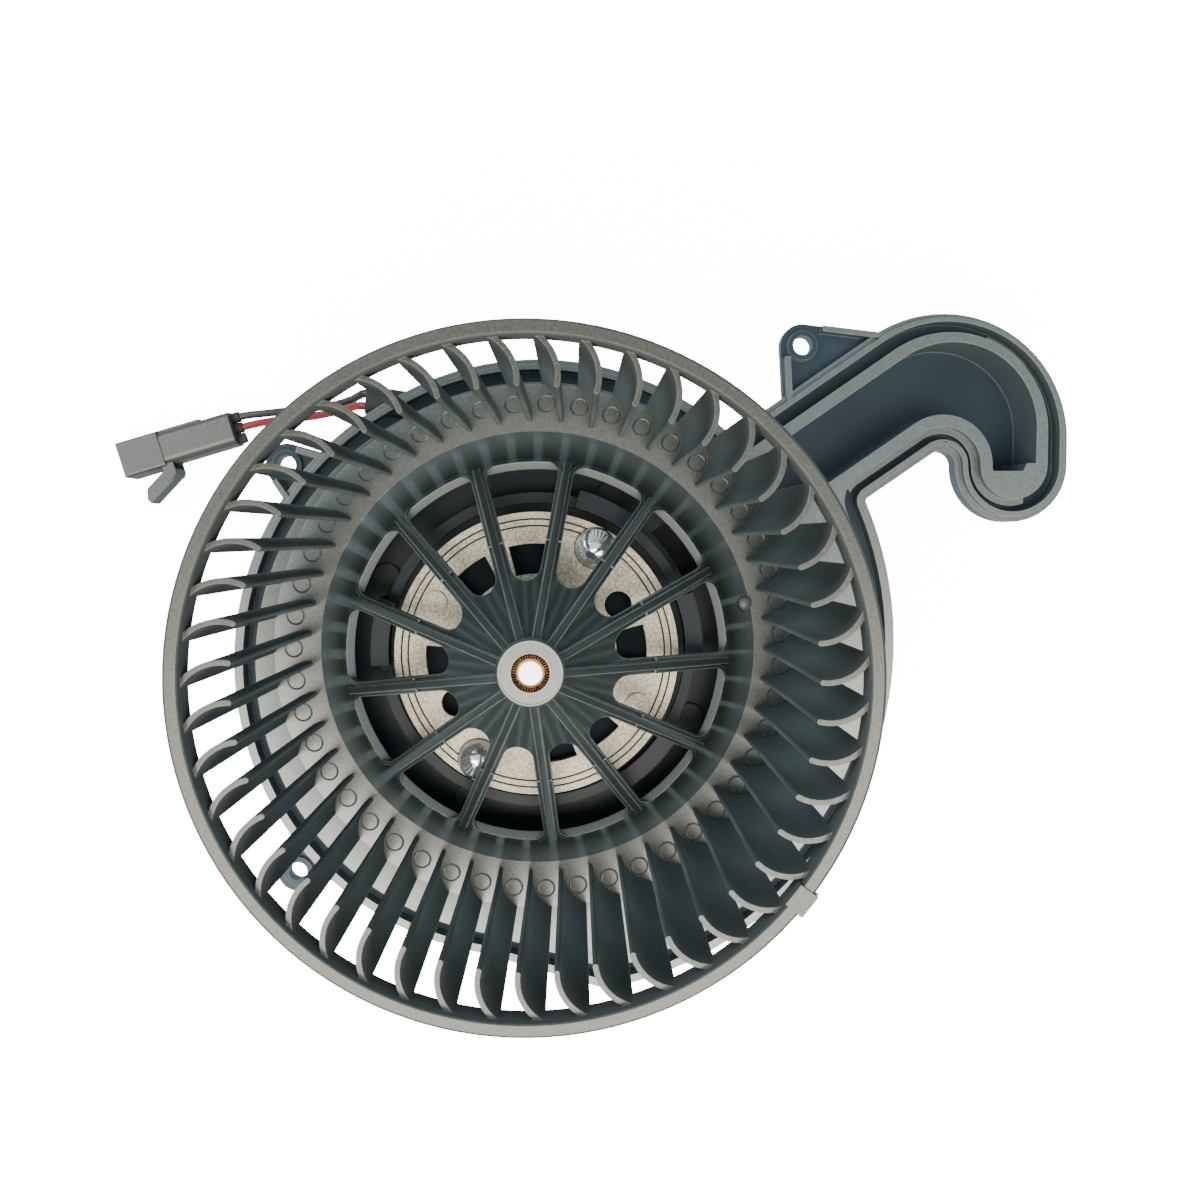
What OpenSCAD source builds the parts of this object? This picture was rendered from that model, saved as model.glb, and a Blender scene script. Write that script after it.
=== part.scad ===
// Heater blower motor: a squirrel-cage wheel on a permanent-magnet motor, carried by a
// scroll plate with a J-shaped cooling-air duct, a rear cover and a two-wire lead.
// The origin is the centre of the rear cover's flat face. +Z runs along the shaft to the inlet.

/* [Blower wheel] */
// Outside diameter of the inlet ring
wheel_d = 190; // [184:1:196]
// Height from the disc's top to the ring's top
wheel_h = 98; // [88:1:106]
// Radial wall of the inlet ring
ring_wall = 4; // [3:0.5:5]
// Height of the inlet ring
ring_h = 9.3; // [7:0.1:12]
// Thickness of the disc and the dome
disc_t = 2.4; // [2:0.1:3]
// Radius where the dome rises from the disc
dome_base_r = 75; // [74:0.5:76.5]
// Slope of the dome
dome_slope = 46; // [44:0.5:47.5]
// Radius of the boss
boss_r = 9.8; // [9:0.1:11]
// Height of the boss above the dome
boss_rise = 6; // [4:0.5:8]
// Length of the boss, top to bottom
boss_len = 30; // [26:1:32]

/* [Blades] */
// Number of blades
blade_count = 47; // [37:1:51]
// Radius of the blades' inner ends
blade_in_r = 78.7; // [78:0.1:80]
// Blade thickness
blade_t = 1.5; // [1.2:0.1:1.8]
// Radius of the blade's arc
blade_arc_r = 13; // [11:0.5:16]
// Angle from a blade's inner end to its outer end
blade_sweep = 3.75; // [3:0.25:4.5]
// Drop of the blades' tops below the ring's top
blade_drop = 3; // [1:0.5:6]
// Angle of the first blade's inner end
blade_phase = -0.13; // [-3:0.01:3]

/* [Dome windows] */
// Number of spokes between the windows
spoke_count = 13; // [11:1:13]
// Width of a spoke
spoke_w = 5; // [4:0.5:6]
// Width of the rib on a spoke
rib_w = 2.4; // [1.6:0.2:3]
// Height of the rib on a spoke
rib_h = 1.4; // [0.8:0.2:2]
// Angle of the first spoke
spoke_phase = -2.4; // [-10:0.1:10]
// Radius of the windows' inner ends
window_in_r = 25.5; // [24:0.5:30]
// Radius of the windows' outer edges
window_out_r = 63; // [60:0.5:65]
// Corner radius at a window's outer end
window_corner_r = 4; // [2:0.5:5]
// Width of the raised frame round a window's outer part
frame_w = 1.4; // [1.3:0.1:1.6]
// Height of the frame
frame_h = 0.9; // [0.6:0.1:1.2]

/* [Balance pieces] */
// Gap between two blades that holds the clip, counted from the first blade
clip_slot = -6; // [-9:1:-3]
// Length of the clip along the ring
clip_len = 7; // [5:0.5:8]
// Angle of the pin on the dome
pin_angle = 12.5; // [6:0.5:18]
// Radius of the pin's domed head
pin_r = 2.6; // [2:0.1:3]

/* [Shaft and hub] */
// Shaft diameter
shaft_d = 8; // [6:0.5:9]
// Outside diameter of the knurled hub bush
bush_d = 11; // [10.4:0.1:12]
// Length of the hub bush
bush_len = 24; // [18:1:24]
// Depth of the hub bush and the shaft's end below the boss face
bush_recess = 1.2; // [0.8:0.1:2]
// Number of knurl teeth
knurl_count = 36; // [24:2:40]

/* [Motor] */
// Outside diameter of the motor's end plate
motor_d = 94; // [92:0.5:95]
// Step from the end plate's edge to the can
can_step = 0.4; // [0.3:0.1:0.8]
// Wall of the motor can
can_wall = 2.5; // [2:0.1:3]
// Height of the end plate's top above the rear face
motor_top_z = 80; // [78:0.5:81]
// Thickness of the end plate
end_plate_t = 2.8; // [2.4:0.1:3.2]
// Distance from the end plate's edge to the tie bolts
bolt_edge = 7; // [6.7:0.1:7.3]
// Angle of the first tie bolt
bolt_angle = 61; // [56:1:66]
// Diameter of the tie bolts' domed heads
bolt_head_d = 14; // [11:0.5:14]
// Diameter of the tie bolts
bolt_d = 5; // [4:0.5:5]
// Thickness of the field magnets
magnet_t = 7.5; // [7:0.1:8]
// Air gap between magnets and armature
air_gap = 0.7; // [0.5:0.1:1]
// Length of the armature's core
core_len = 26; // [22:1:28]
// Number of armature slots
slot_count = 12; // [10:1:12]
// Diameter of the commutator
commutator_d = 24; // [22:1:26]

/* [Scroll plate] */
// Height of the plate's top above the rear face
plate_z = 54; // [52:0.5:54]
// Thickness of the plate
plate_t = 3; // [2.5:0.1:3.5]
// Gap between the plate and the wheel's disc
wheel_gap = 5.6; // [5:0.1:8]
// Depth of the rim
rim_h = 10; // [9:0.5:12]
// Scroll radius at its start
scroll_r0 = 101; // [100:0.5:103]
// Offset of the scroll's growing arc
scroll_grow = 7.1; // [6.5:0.1:7.7]
// Scroll radius at its end
scroll_r1 = 127; // [126:0.5:128]
// Width of the rim's low outer skirt
skirt_w = 2; // [1.6:0.1:2.4]
// Drop of the skirt below the plate's top
skirt_drop = 2.5; // [1.5:0.1:2.8]
// Width of the rim's lip
lip_w = 1.8; // [1.4:0.1:2.2]
// Width of the groove inside the lip
rim_groove_w = 2.2; // [1.8:0.1:2.6]
// Depth of the groove
rim_groove_h = 7; // [5:0.5:8]
// Width of the step between the groove and the rail
step_w = 2.3; // [2:0.1:2.8]
// Drop of the step below the plate's top
step_drop = 3.6; // [2:0.2:4.4]
// Width of the rail beside the duct
rail_w = 4.2; // [3.5:0.1:5]

/* [Cooling duct arm] */
// Direction of the arm
arm_angle = 34.5; // [33:0.5:36]
// Centre of the outer bend
bend_c = [143.2, 72.6]; // [70:0.1:150]
// Radius of the outer bend
bend_r = 44.8; // [44.4:0.1:45.4]
// Centre of the duct's own bend
duct_c = [146, 77]; // [70:0.5:150]
// Radius of the duct's own bend
duct_r = 30.1; // [29.5:0.1:30.5]
// Radius of the end lobe
lobe_r = 20; // [19.8:0.1:20.4]
// Radius of the inner hook
hook_r = 5.25; // [5:0.05:5.5]
// Radius of the corner between the scroll and the arm
corner_r = 1.5; // [1:0.5:3]
// Height of the lobe's and the hook's centres
lobe_y = 64; // [63:0.5:65]
// Depth of the duct below the plate's top
duct_depth = 22; // [18:1:23]
// Wall and floor of the duct
duct_wall = 2.5; // [2:0.1:3]

/* [Motor holder] */
// Height of the collar above the plate
collar_h = 14; // [10:1:16]
// Wall of the collar
collar_wall = 3.6; // [3:0.1:4.5]
// Rise of the four lugs above the collar
lug_rise = 4; // [2:0.5:5]
// Radial size of the lugs outside the collar
lug_out = 2.4; // [1:0.2:3]
// Rubber thickness round the motor
isolator_t = 3.6; // [3:0.1:4]

/* [Mounting ears] */
// Diameter of the mounting holes
ear_hole_d = 6.6; // [5.5:0.1:7]
// Outer radius of an ear
ear_r = 7.7; // [7.3:0.1:8.5]
// Thickness of an ear
ear_t = 4; // [3:0.5:5]
// Centre of the ear beside the arm
ear_1 = [93.5, 106.5]; // [90:0.5:110]
// Centre of the upper left ear
ear_2 = [-89, 64]; // [-92:0.5:66]
// Centre of the lower left ear
ear_3 = [-87, -81.5]; // [-90:0.5:-78]
// Thickness of the gussets beside an ear
gusset_t = 2; // [1.5:0.1:2.5]

/* [Rear cover] */
// Wall of the rear cover
cover_wall = 2.5; // [2:0.1:3]
// Floor of the rear cover
cover_floor = 2.5; // [2:0.1:3]
// Width of the rear cover's flange
flange_w = 9; // [8:0.5:12]
// Thickness of the flange
flange_t = 3; // [2.5:0.1:3.5]
// Number of cover screws
cover_screw_count = 4; // [3:1:5]
// Diameter of the cover screws
cover_screw_d = 4; // [3:0.5:4]
// Diameter of the cover screws' heads
cover_head_d = 7.4; // [6:0.2:8]

/* [Leads and connector] */
// Diameter of a lead
lead_d = 2.85; // [2.5:0.05:3]
// Centre of the connector's rear end on the floor
connector_at = [-119, 80.5]; // [-125:0.5:90]
// Direction from the connector's rear to its front
connector_angle = 196.7; // [190:0.1:200]
// Length of the connector's rear body
connector_rear_l = 28; // [26:0.5:30]
// Width and height of the rear body
connector_rear_w = 12.8; // [12.4:0.1:13.4]
// Length of the connector's front shroud
connector_front_l = 16; // [15:0.5:18]
// Width and height of the front shroud
connector_front_w = 13.8; // [13.4:0.1:15]
// Wall of the front shroud
shroud_wall = 1.4; // [1.2:0.1:1.8]
// Length of the latch lever
latch_len = 14; // [11:0.5:15]
// Thickness of the latch lever
latch_t = 5; // [4:0.5:5.5]
// Angle of the latch lever to the connector
latch_angle = 30; // [28:1:36]

/* [Hidden] */
$fn = 96;
eps = 0.01;
running_fit = 0.03;
slip_fit = 0.1;
part_gap = 0.3;
// Round parts of an outline swell by this much, so that they cross the straight parts cleanly
swell = 0.02;

// Heights and radii of the wheel
disc_z = plate_z + wheel_gap + disc_t;
wheel_top = disc_z + wheel_h;
ring_out_r = wheel_d / 2;
ring_in_r = ring_out_r - ring_wall;
ring_chamfer = 0.8;
dome_tan = tan(dome_slope);
dome_wall_v = disc_t / cos(dome_slope);
boss_top = dome_z(boss_r) + boss_rise;
boss_bottom = boss_top - boss_len;
boss_lip_w = 0.9;
boss_lip_h = 0.5;
blade_top = wheel_top - blade_drop;
blade_root = 1;
ring_bite = 0.5;
blade_pitch = 360 / blade_count;
clip_angle = blade_phase + blade_sweep + (clip_slot + 0.5) * blade_pitch;
spoke_pitch = 360 / spoke_count;
pin_inset = 2.2;
pin_at_r = dome_base_r - pin_inset;
pin_z = dome_z(pin_at_r) - pin_r / 2;
pin_shank_r = 1;

// Blade arc: chord from the inner end to the ring, with the hollow side facing forward
blade_p = [blade_in_r, 0];
blade_q = ring_in_r * [cos(blade_sweep), sin(blade_sweep)];
blade_chord = norm(blade_q - blade_p);
blade_chord_a = atan2(blade_q[1] - blade_p[1], blade_q[0] - blade_p[0]);
blade_rise = sqrt(blade_arc_r * blade_arc_r - blade_chord * blade_chord / 4);
blade_bow = blade_arc_r - blade_rise + blade_t;

// Windows: an inner circle and two outer corner circles between two spokes
window_half = spoke_pitch / 2;
window_over = 0.6;
window_in_c = (window_in_r - spoke_w / 2) / (1 - sin(window_half));
window_in_round = window_in_c - window_in_r;
corner_off = spoke_w / 2 + window_corner_r;
corner_c_r = window_out_r + window_over - window_corner_r;
corner_c_a = window_half - asin(corner_off / corner_c_r);
window_side = [-sin(window_half), cos(window_half)];
bevel_reach = 10;
frame_in_r = 38;

// Motor heights
can_r = motor_d / 2 - can_step;
can_in_r = can_r - can_wall;
can_top = motor_top_z - end_plate_t;
rear_rubber_h = 6.5;
can_z = cover_floor + rear_rubber_h;
can_floor = can_z + can_wall;
hump_r = 12;
hump_drop = 4.5;
front_hump_r = 13;
front_hump_h = 10;
hump_wall = 2;
bearing_r = 8;
bearing_h = 9;
shaft_r = shaft_d / 2;
shaft_hole_r = shaft_r + 0.6;
shaft_bottom = can_z - hump_drop + hump_wall + 0.4;
shaft_top = boss_top - bush_recess;
shaft_chamfer = 0.6;
rear_bearing_z = can_z - hump_drop + hump_wall;
front_bearing_z = motor_top_z + front_hump_h - hump_wall - bearing_h;
retainer_t = 0.8;
retainer_r = 15;
bolt_circle_r = motor_d / 2 - bolt_edge;
groove_edge = 2.4;
groove_step = 2.2;
groove_r = [motor_d / 2 - groove_edge, motor_d / 2 - groove_edge - groove_step];
groove_w = 0.5;
dot_inset = 2.5;
dot_r = bolt_circle_r - dot_inset;
dot_d = 8;
dot_h = 0.8;
air_slot_inset = 3.5;
air_slot_l = 10;
air_slot_out = bolt_circle_r - air_slot_inset;
air_slot_in = air_slot_out - air_slot_l;
air_hole_r = (air_slot_in + air_slot_out) / 2;
air_slot_a = 19;
air_hole_d = 9;

// Armature and brush gear
magnet_out_r = can_in_r - slip_fit;
magnet_in_r = magnet_out_r - magnet_t;
core_r = magnet_in_r - air_gap;
winding_h = 9;
core_rise = 6;
core_z = can_floor + winding_h + core_rise;
core_top = core_z + core_len;
magnet_over = 5;
magnet_z = core_z - magnet_over;
magnet_len = core_len + 2 * magnet_over;
magnet_span = 62;
slot_inset = 8.5;
slot_c_r = core_r - slot_inset;
slot_r = 4.6;
slot_mouth = 3;
winding_inset = 4;
winding_r = core_r - winding_inset;
winding_round = 4;
commutator_r = commutator_d / 2;
commutator_gap = 1;
commutator_z = core_top + winding_h + commutator_gap;
commutator_len = 11;
card_t = 2;
card_drop = 1;
card_z = commutator_z + commutator_len - card_drop;
card_clear = 5;
card_in_r = commutator_r + card_clear;
card_edge = 1;
card_out_r = can_in_r - card_edge;
card_post_r = 2.2;
card_post_inset = 5;
card_post_at = card_out_r - card_post_inset;
brush_angle = bolt_angle - 45;
holder_wall = 0.8;
holder_w = 9.6;
holder_h = 9;
holder_clear = 2.4;
holder_in = commutator_r + holder_clear;
holder_edge = 10.1;
holder_out = can_in_r - holder_edge;
brush_in = commutator_r + part_gap;
brush_share = 0.63;
brush_len = brush_share * (holder_out - holder_wall - brush_in);
brush_clear = 0.25;
spring_r = 2.8;
spring_wire = 0.8;
spring_turns = 6;
washer_r = 7.5;
washer_t = 1;
front_washer_z = commutator_z + commutator_len + part_gap;
rear_washer_z = rear_bearing_z + bearing_h + 2 * retainer_t + part_gap;

// Scroll outline: start arc, growing arc, flat ramp and end arc
scroll_a0 = 74;
scroll_s0 = 100;
scroll_s1 = 272;
scroll_dip = 2;
scroll_c = -scroll_grow * [cos(scroll_a0), sin(scroll_a0)];
ramp_a = 252;
ramp_start_r = 112.6;
ramp_end_r = 124.5;
ramp_end_a = 278.5;
ramp_p = ramp_start_r * [cos(ramp_a), sin(ramp_a)];
ramp_q = ramp_end_r * [cos(ramp_end_a), sin(ramp_end_a)];
far = 260;

// Insets of the rim's steps from the outer edge
inset_1 = skirt_w;
inset_2 = inset_1 + lip_w;
inset_3 = inset_2 + rim_groove_w;
inset_4 = inset_3 + step_w;
inset_5 = inset_4 + rail_w;

// Arm: u runs along the arm, v across it
arm_u = [cos(arm_angle), sin(arm_angle)];
arm_v = [-sin(arm_angle), cos(arm_angle)];
arm_v_top = bend_c * arm_v + bend_r;
arm_x_end = bend_c[0] + bend_r;
hook_c = [arm_x_end - 2 * lobe_r - hook_r, lobe_y];
arm_v_low = hook_c * arm_v + hook_r;
arm_start = 40;
corner_v = arm_v_low - corner_r;
corner_u = sqrt((scroll_r1 + corner_r) * (scroll_r1 + corner_r) - corner_v * corner_v);
corner_c = corner_u * arm_u + corner_v * arm_v;
step_u = corner_u - 4;
step_x = arm_x_end - lobe_r + 5;
pad_drop = 2;
duct_end_y = lobe_y - pad_drop;
pad_step_w = 4.6;
pad_step_h = 2.8;
pad_step_x = duct_c[0] + duct_r - pad_step_w;

// Holder, cover and lead duct
collar_in_r = can_r + isolator_t;
collar_r = collar_in_r + collar_wall;
collar_top = plate_z + collar_h;
lug_angles = [9, 63, 173, 314];
lug_span = 24;
plate_low = plate_z - plate_t;
rim_low = plate_z - rim_h;
duct_floor = plate_z - duct_depth;
duct_low = duct_floor - duct_wall;
cover_gap = 4.9;
cover_in_r = can_r + cover_gap;
cover_r = cover_in_r + cover_wall;
flange_r = cover_r + flange_w;
cover_screw_r = (cover_r + flange_r) / 2;
cover_screw_a = 65;
screw_boss_r = 4.6;
screw_boss_h = 2;
screw_head_h = 2.6;
port_w = 18;
port_low = duct_floor + 1;
port_high = plate_low - flange_t - 1;
cover_round = 4;
isolator_h = 12;
rear_rubber_r = 34;
rear_rubber_in = 20;
back_rib_t = 2;
back_rib_angles = [75, 165, 210, 235, 260, 300, 330, 0];
lead_duct_w = 15;
lead_duct_low = 40;
lead_exit = [-52, 86];
lead_duct_a = 150;
lead_duct_l = 57;
grommet_a = 172;
grommet_z = 46;
grommet_w = 10;
grommet_h = 7;
grommet_out = 9;
grommet_in = 4;
lead_pitch = 4.4;

// Connector in its own frame: x from rear to front, y across, z up from the floor
connector_l = connector_rear_l + connector_front_l;
connector_axis_z = connector_front_w / 2;
shroud_depth = 14;
ridge_l = 16;
ridge_w = 3;
ridge_h = 1;
seal_l = 3;
seal_r = 2.05;
seal_pitch = 4.2;
lead_slack = 0.15;
terminal_w = 2.4;
terminal_t = 0.8;
latch_pin_r = 1.2;
latch_h = 9;
latch_eye_r = 2.2;
latch_x = connector_rear_l - 0.5;
latch_y = connector_front_w / 2 + latch_eye_r + 0.4;
latch_z = connector_axis_z - latch_h / 2;
latch_start = 1.5;
latch_nose = 3;
latch_fork_t = 1.2;
latch_pin_fit = 0.06;
terminal_l = 10;

// Routes of the leads from the grommet down to the floor and into the connector
lead_sides = 8;
red_route = [
    [-55.26, 84.23, 46], [-62.19, 85.21, 46], [-65.6, 85.35, 43.25], [-68.66, 85.23, 39.73],
    [-71.69, 84.94, 36.31], [-74.8, 84.56, 33.13], [-78.07, 84.2, 30.23], [-81.5, 83.89, 27.55],
    [-85.06, 83.65, 24.96], [-88.71, 83.49, 22.34], [-92.41, 83.42, 19.58], [-96.16, 83.4, 16.71],
    [-99.97, 83.36, 13.91], [-103.85, 83.21, 11.35], [-107.83, 82.88, 9.21], [-111.92, 82.29, 7.67],
    [-116.13, 81.36, 6.9], [-118.9, 80.53, 6.9]
];
black_route = [
    [-54.66, 88.59, 46], [-61.59, 89.57, 46], [-64.6, 89.13, 42.67], [-67.4, 88.44, 38.83],
    [-70.5, 87.85, 35.5], [-73.81, 87.44, 32.39], [-77.19, 87.22, 29.21], [-80.65, 87.15, 25.96],
    [-84.2, 87.17, 22.75], [-87.88, 87.2, 19.65], [-91.7, 87.18, 16.73], [-95.67, 87.05, 14.09],
    [-99.8, 86.85, 11.78], [-104.04, 86.6, 9.86], [-108.4, 86.34, 8.36], [-112.83, 86.05, 7.36],
    [-117.33, 85.38, 6.9], [-120.11, 84.55, 6.9]
];

function dome_z(r) = disc_z + (dome_base_r - r) * dome_tan;
function bend_at(d) = bend_c + (duct_c - bend_c) * d / inset_5;
function bend_r_at(d) = bend_r + (duct_r - bend_r) * d / inset_5;
function polar(r, a) = r * [cos(a), sin(a)];
function tangent_pt(p, c, r, side) =
    let (e = p - c, a = atan2(e[1], e[0]) + side * acos(r / norm(e))) c + polar(r, a);
function unit(v) = v / norm(v);

// Plan shape of a circle sector of radius far between two angles less than 180 degrees apart
module sector2d(a0, a1) {
    steps = ceil((a1 - a0) / 30);
    polygon(concat([[0, 0]], [for (i = [0:steps]) polar(far, a0 + (a1 - a0) * i / steps)]));
}

// Plan shape of a flat ring
module ring2d(r_out, r_in) {
    difference() {
        circle(r_out);
        circle(r_in);
    }
}

// Upright tube between two heights
module tube(r_out, r_in, z0, z1) {
    translate([0, 0, z0]) linear_extrude(z1 - z0) ring2d(r_out, r_in);
}

// Rectangle with round corners, centred
module round_rect(w, h, r) {
    square([w - 2 * r, h], center = true);
    square([w, h - 2 * r], center = true);
    for (x = [-1, 1], y = [-1, 1]) translate([x * (w / 2 - r), y * (h / 2 - r)]) circle(r, $fn = 32);
}

// Blade in plan: a thin arc from its round inner end into the ring
module blade2d() {
    translate(blade_p) circle(d = blade_t + swell, $fn = 24);
    intersection() {
        translate(blade_p) rotate(blade_chord_a) translate([blade_chord / 2, blade_rise])
            ring2d(blade_arc_r + blade_t / 2, blade_arc_r - blade_t / 2);
        translate(blade_p) rotate(blade_chord_a) translate([0, -blade_bow])
            square([blade_chord + 2 * blade_t, blade_bow + blade_t]);
        circle(ring_in_r + ring_bite);
    }
}

// Half section of the disc, dome and boss
module wheel_profile() {
    dome_in_r = dome_base_r - (dome_wall_v - disc_t) / dome_tan;
    polygon([
        [ring_in_r, disc_z - disc_t], [ring_in_r, disc_z], [dome_base_r, disc_z],
        [boss_r, dome_z(boss_r)], [boss_r, boss_top - boss_lip_h], [boss_r - boss_lip_h, boss_top],
        [boss_r - boss_lip_w, boss_top], [boss_r - boss_lip_w, boss_top - boss_lip_h],
        [bush_d / 2 + running_fit, boss_top - boss_lip_h], [bush_d / 2 + running_fit, boss_bottom],
        [boss_r, boss_bottom], [boss_r, dome_z(boss_r) - dome_wall_v], [dome_in_r, disc_z - disc_t]
    ]);
}

// Half section of the inlet ring
module ring_profile() {
    low = wheel_top - ring_h;
    polygon([
        [ring_in_r, low], [ring_out_r - ring_chamfer, low], [ring_out_r, low + ring_chamfer],
        [ring_out_r, wheel_top - ring_chamfer], [ring_out_r - ring_chamfer, wheel_top],
        [ring_in_r + ring_chamfer / 2, wheel_top], [ring_in_r, wheel_top - ring_chamfer / 2]
    ]);
}

// Window in plan, with its middle line along x, grown by wider on every side
module window2d(wider) {
    in_c = [window_in_c, 0];
    out_c = polar(corner_c_r, corner_c_a);
    in_t = in_c + (window_in_round + wider) * window_side;
    out_t = out_c + (window_corner_r + wider) * window_side;
    out_c2 = [out_c[0], -out_c[1]];
    translate(in_c) circle(window_in_round + wider + swell);
    for (s = [1, -1]) translate([out_c[0], s * out_c[1]]) circle(window_corner_r + wider + swell);
    polygon([in_t, out_t, out_c, out_c2, [out_t[0], -out_t[1]], [in_t[0], -in_t[1]]]);
    intersection() {
        circle(window_out_r + window_over + wider);
        polygon([out_c, 2 * out_c, 2 * out_c2, out_c2]);
    }
}

// Raised frames round the outer parts of the windows, following the dome
module window_frames() {
    frame_out_r = window_out_r + window_over + 2 * frame_w;
    frame_v = frame_h / cos(dome_slope);
    intersection() {
        rotate_extrude() polygon([
            [frame_in_r, dome_z(frame_in_r) - 1], [frame_out_r, dome_z(frame_out_r) - 1],
            [frame_out_r, dome_z(frame_out_r) + frame_v], [frame_in_r, dome_z(frame_in_r) + frame_v]
        ]);
        for (i = [0:spoke_count - 1]) rotate(spoke_phase + (i + 0.5) * spoke_pitch)
            translate([0, 0, disc_z]) linear_extrude(wheel_h) window2d(frame_w);
    }
}

// Cutters for all windows; their outer ends lean inward as a bright bevel
module window_cuts() {
    edge_z = dome_z(window_out_r);
    height = boss_top - edge_z + 2 * bevel_reach;
    for (i = [0:spoke_count - 1]) rotate(spoke_phase + (i + 0.5) * spoke_pitch) intersection() {
        translate([0, 0, edge_z - bevel_reach]) linear_extrude(height) window2d(0);
        translate([0, 0, edge_z - bevel_reach])
            cylinder(h = height, r1 = window_out_r - bevel_reach, r2 = window_out_r - bevel_reach + height);
    }
}

// Ribs along the spokes, following the dome
module spoke_ribs() {
    rib_end = window_out_r + rib_h;
    rib_v = rib_h / cos(dome_slope);
    intersection() {
        rotate_extrude() polygon([
            [boss_r - 1, dome_z(boss_r - 1) - 1], [rib_end, dome_z(rib_end) - 1],
            [rib_end, dome_z(rib_end) + rib_v], [boss_r - 1, dome_z(boss_r - 1) + rib_v]
        ]);
        for (i = [0:spoke_count - 1]) rotate(spoke_phase + i * spoke_pitch)
            translate([boss_r - 0.5, -rib_w / 2, disc_z]) cube([window_out_r, rib_w, wheel_h]);
    }
}

module blower_wheel() {
    color([0.27, 0.29, 0.3]) difference() {
        union() {
            rotate_extrude() wheel_profile();
            rotate_extrude() ring_profile();
            translate([0, 0, disc_z - blade_root]) linear_extrude(blade_top - disc_z + blade_root)
                for (i = [0:blade_count - 1]) rotate(blade_phase + i * blade_pitch) blade2d();
            spoke_ribs();
            window_frames();
        }
        window_cuts();
        rotate(pin_angle) translate([pin_at_r, 0, pin_z]) {
            cylinder(r = pin_r + slip_fit, h = 3 * pin_r);
            translate([0, 0, -wheel_gap]) cylinder(r = pin_shank_r + running_fit, h = wheel_gap + eps);
        }
    }
}

// Knurled bush moulded into the boss
module hub_bush() {
    tooth = 0.35;
    color([0.72, 0.5, 0.3]) translate([0, 0, shaft_top - bush_len]) linear_extrude(bush_len) difference() {
        polygon([
            for (i = [0:2 * knurl_count - 1]) polar(bush_d / 2 - tooth * (i % 2), 180 * i / knurl_count)
        ]);
        circle(shaft_r + running_fit / 2);
    }
}

module motor_shaft() {
    color([0.85, 0.86, 0.87]) rotate_extrude() polygon([
        [0, shaft_bottom], [shaft_r - shaft_chamfer, shaft_bottom], [shaft_r, shaft_bottom + shaft_chamfer],
        [shaft_r, shaft_top - shaft_chamfer], [shaft_r - shaft_chamfer, shaft_top], [0, shaft_top]
    ]);
}

// Spring clip over the inlet ring, with a small outer lug
module balance_clip() {
    clip_t = 0.8;
    leg = 6;
    inner_leg = blade_drop - part_gap;
    half = clip_len / ring_out_r * 90 / PI;
    lug = 2.6;
    color([0.55, 0.56, 0.55]) rotate(clip_angle) {
        translate([0, 0, wheel_top + slip_fit]) linear_extrude(clip_t) intersection() {
            ring2d(ring_out_r + slip_fit + clip_t, ring_in_r - slip_fit - clip_t);
            sector2d(-half, half);
        }
        translate([0, 0, wheel_top - leg]) linear_extrude(leg + slip_fit + clip_t) intersection() {
            ring2d(ring_out_r + slip_fit + clip_t, ring_out_r + slip_fit);
            sector2d(-half, half);
        }
        translate([0, 0, wheel_top - inner_leg]) linear_extrude(inner_leg + slip_fit + clip_t)
            intersection() {
                ring2d(ring_in_r - slip_fit, ring_in_r - slip_fit - clip_t);
                sector2d(-half, half);
            }
        translate([0, 0, wheel_top - leg]) linear_extrude(clip_t) intersection() {
            ring2d(ring_out_r + lug, ring_out_r + slip_fit);
            sector2d(-half, half);
        }
    }
}

// Domed pin in its seat on the dome
module balance_pin() {
    color([0.5, 0.51, 0.5]) rotate(pin_angle) translate([pin_at_r, 0, pin_z]) {
        cylinder(r = pin_r, h = pin_r / 2);
        translate([0, 0, pin_r / 2]) intersection() {
            sphere(pin_r);
            translate([0, 0, -eps]) cylinder(r = 2 * pin_r, h = 2 * pin_r);
        }
        translate([0, 0, -disc_t]) cylinder(r = pin_shank_r, h = disc_t + eps);
    }
}

module armature_core() {
    color([0.35, 0.36, 0.38]) translate([0, 0, core_z]) linear_extrude(core_len) difference() {
        ring2d(core_r, shaft_r + running_fit);
        for (i = [0:slot_count - 1]) rotate(i * 360 / slot_count) {
            translate([slot_c_r, 0]) circle(slot_r);
            translate([slot_c_r, -slot_mouth / 2]) square([core_r, slot_mouth]);
        }
    }
}

// End turns at both ends of the core, joined by the bars in its slots
module armature_winding() {
    in_r = shaft_r + 4;
    bar_r = slot_r - part_gap;
    color([0.7, 0.38, 0.18]) {
        for (z = [core_z - part_gap - winding_h, core_top + part_gap]) translate([0, 0, z])
            rotate_extrude() polygon([
                [in_r, winding_round], [in_r + winding_round, 0], [winding_r - winding_round, 0],
                [winding_r, winding_round], [winding_r, winding_h - winding_round],
                [winding_r - winding_round, winding_h], [in_r + winding_round, winding_h],
                [in_r, winding_h - winding_round]
            ]);
        for (i = [0:slot_count - 1]) rotate(i * 360 / slot_count)
            translate([slot_c_r, 0, core_z - winding_h / 2]) cylinder(r = bar_r, h = core_len + winding_h);
    }
}

module commutator() {
    slit_w = 0.6;
    slit_h = 1;
    color([0.75, 0.45, 0.25]) translate([0, 0, commutator_z]) linear_extrude(commutator_len) difference() {
        ring2d(commutator_r, shaft_r + running_fit);
        for (i = [0:2 * slot_count - 1]) rotate((i + 0.5) * 180 / slot_count)
            translate([commutator_r - slit_h, -slit_w / 2]) square([2 * slit_h, slit_w]);
    }
}

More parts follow.
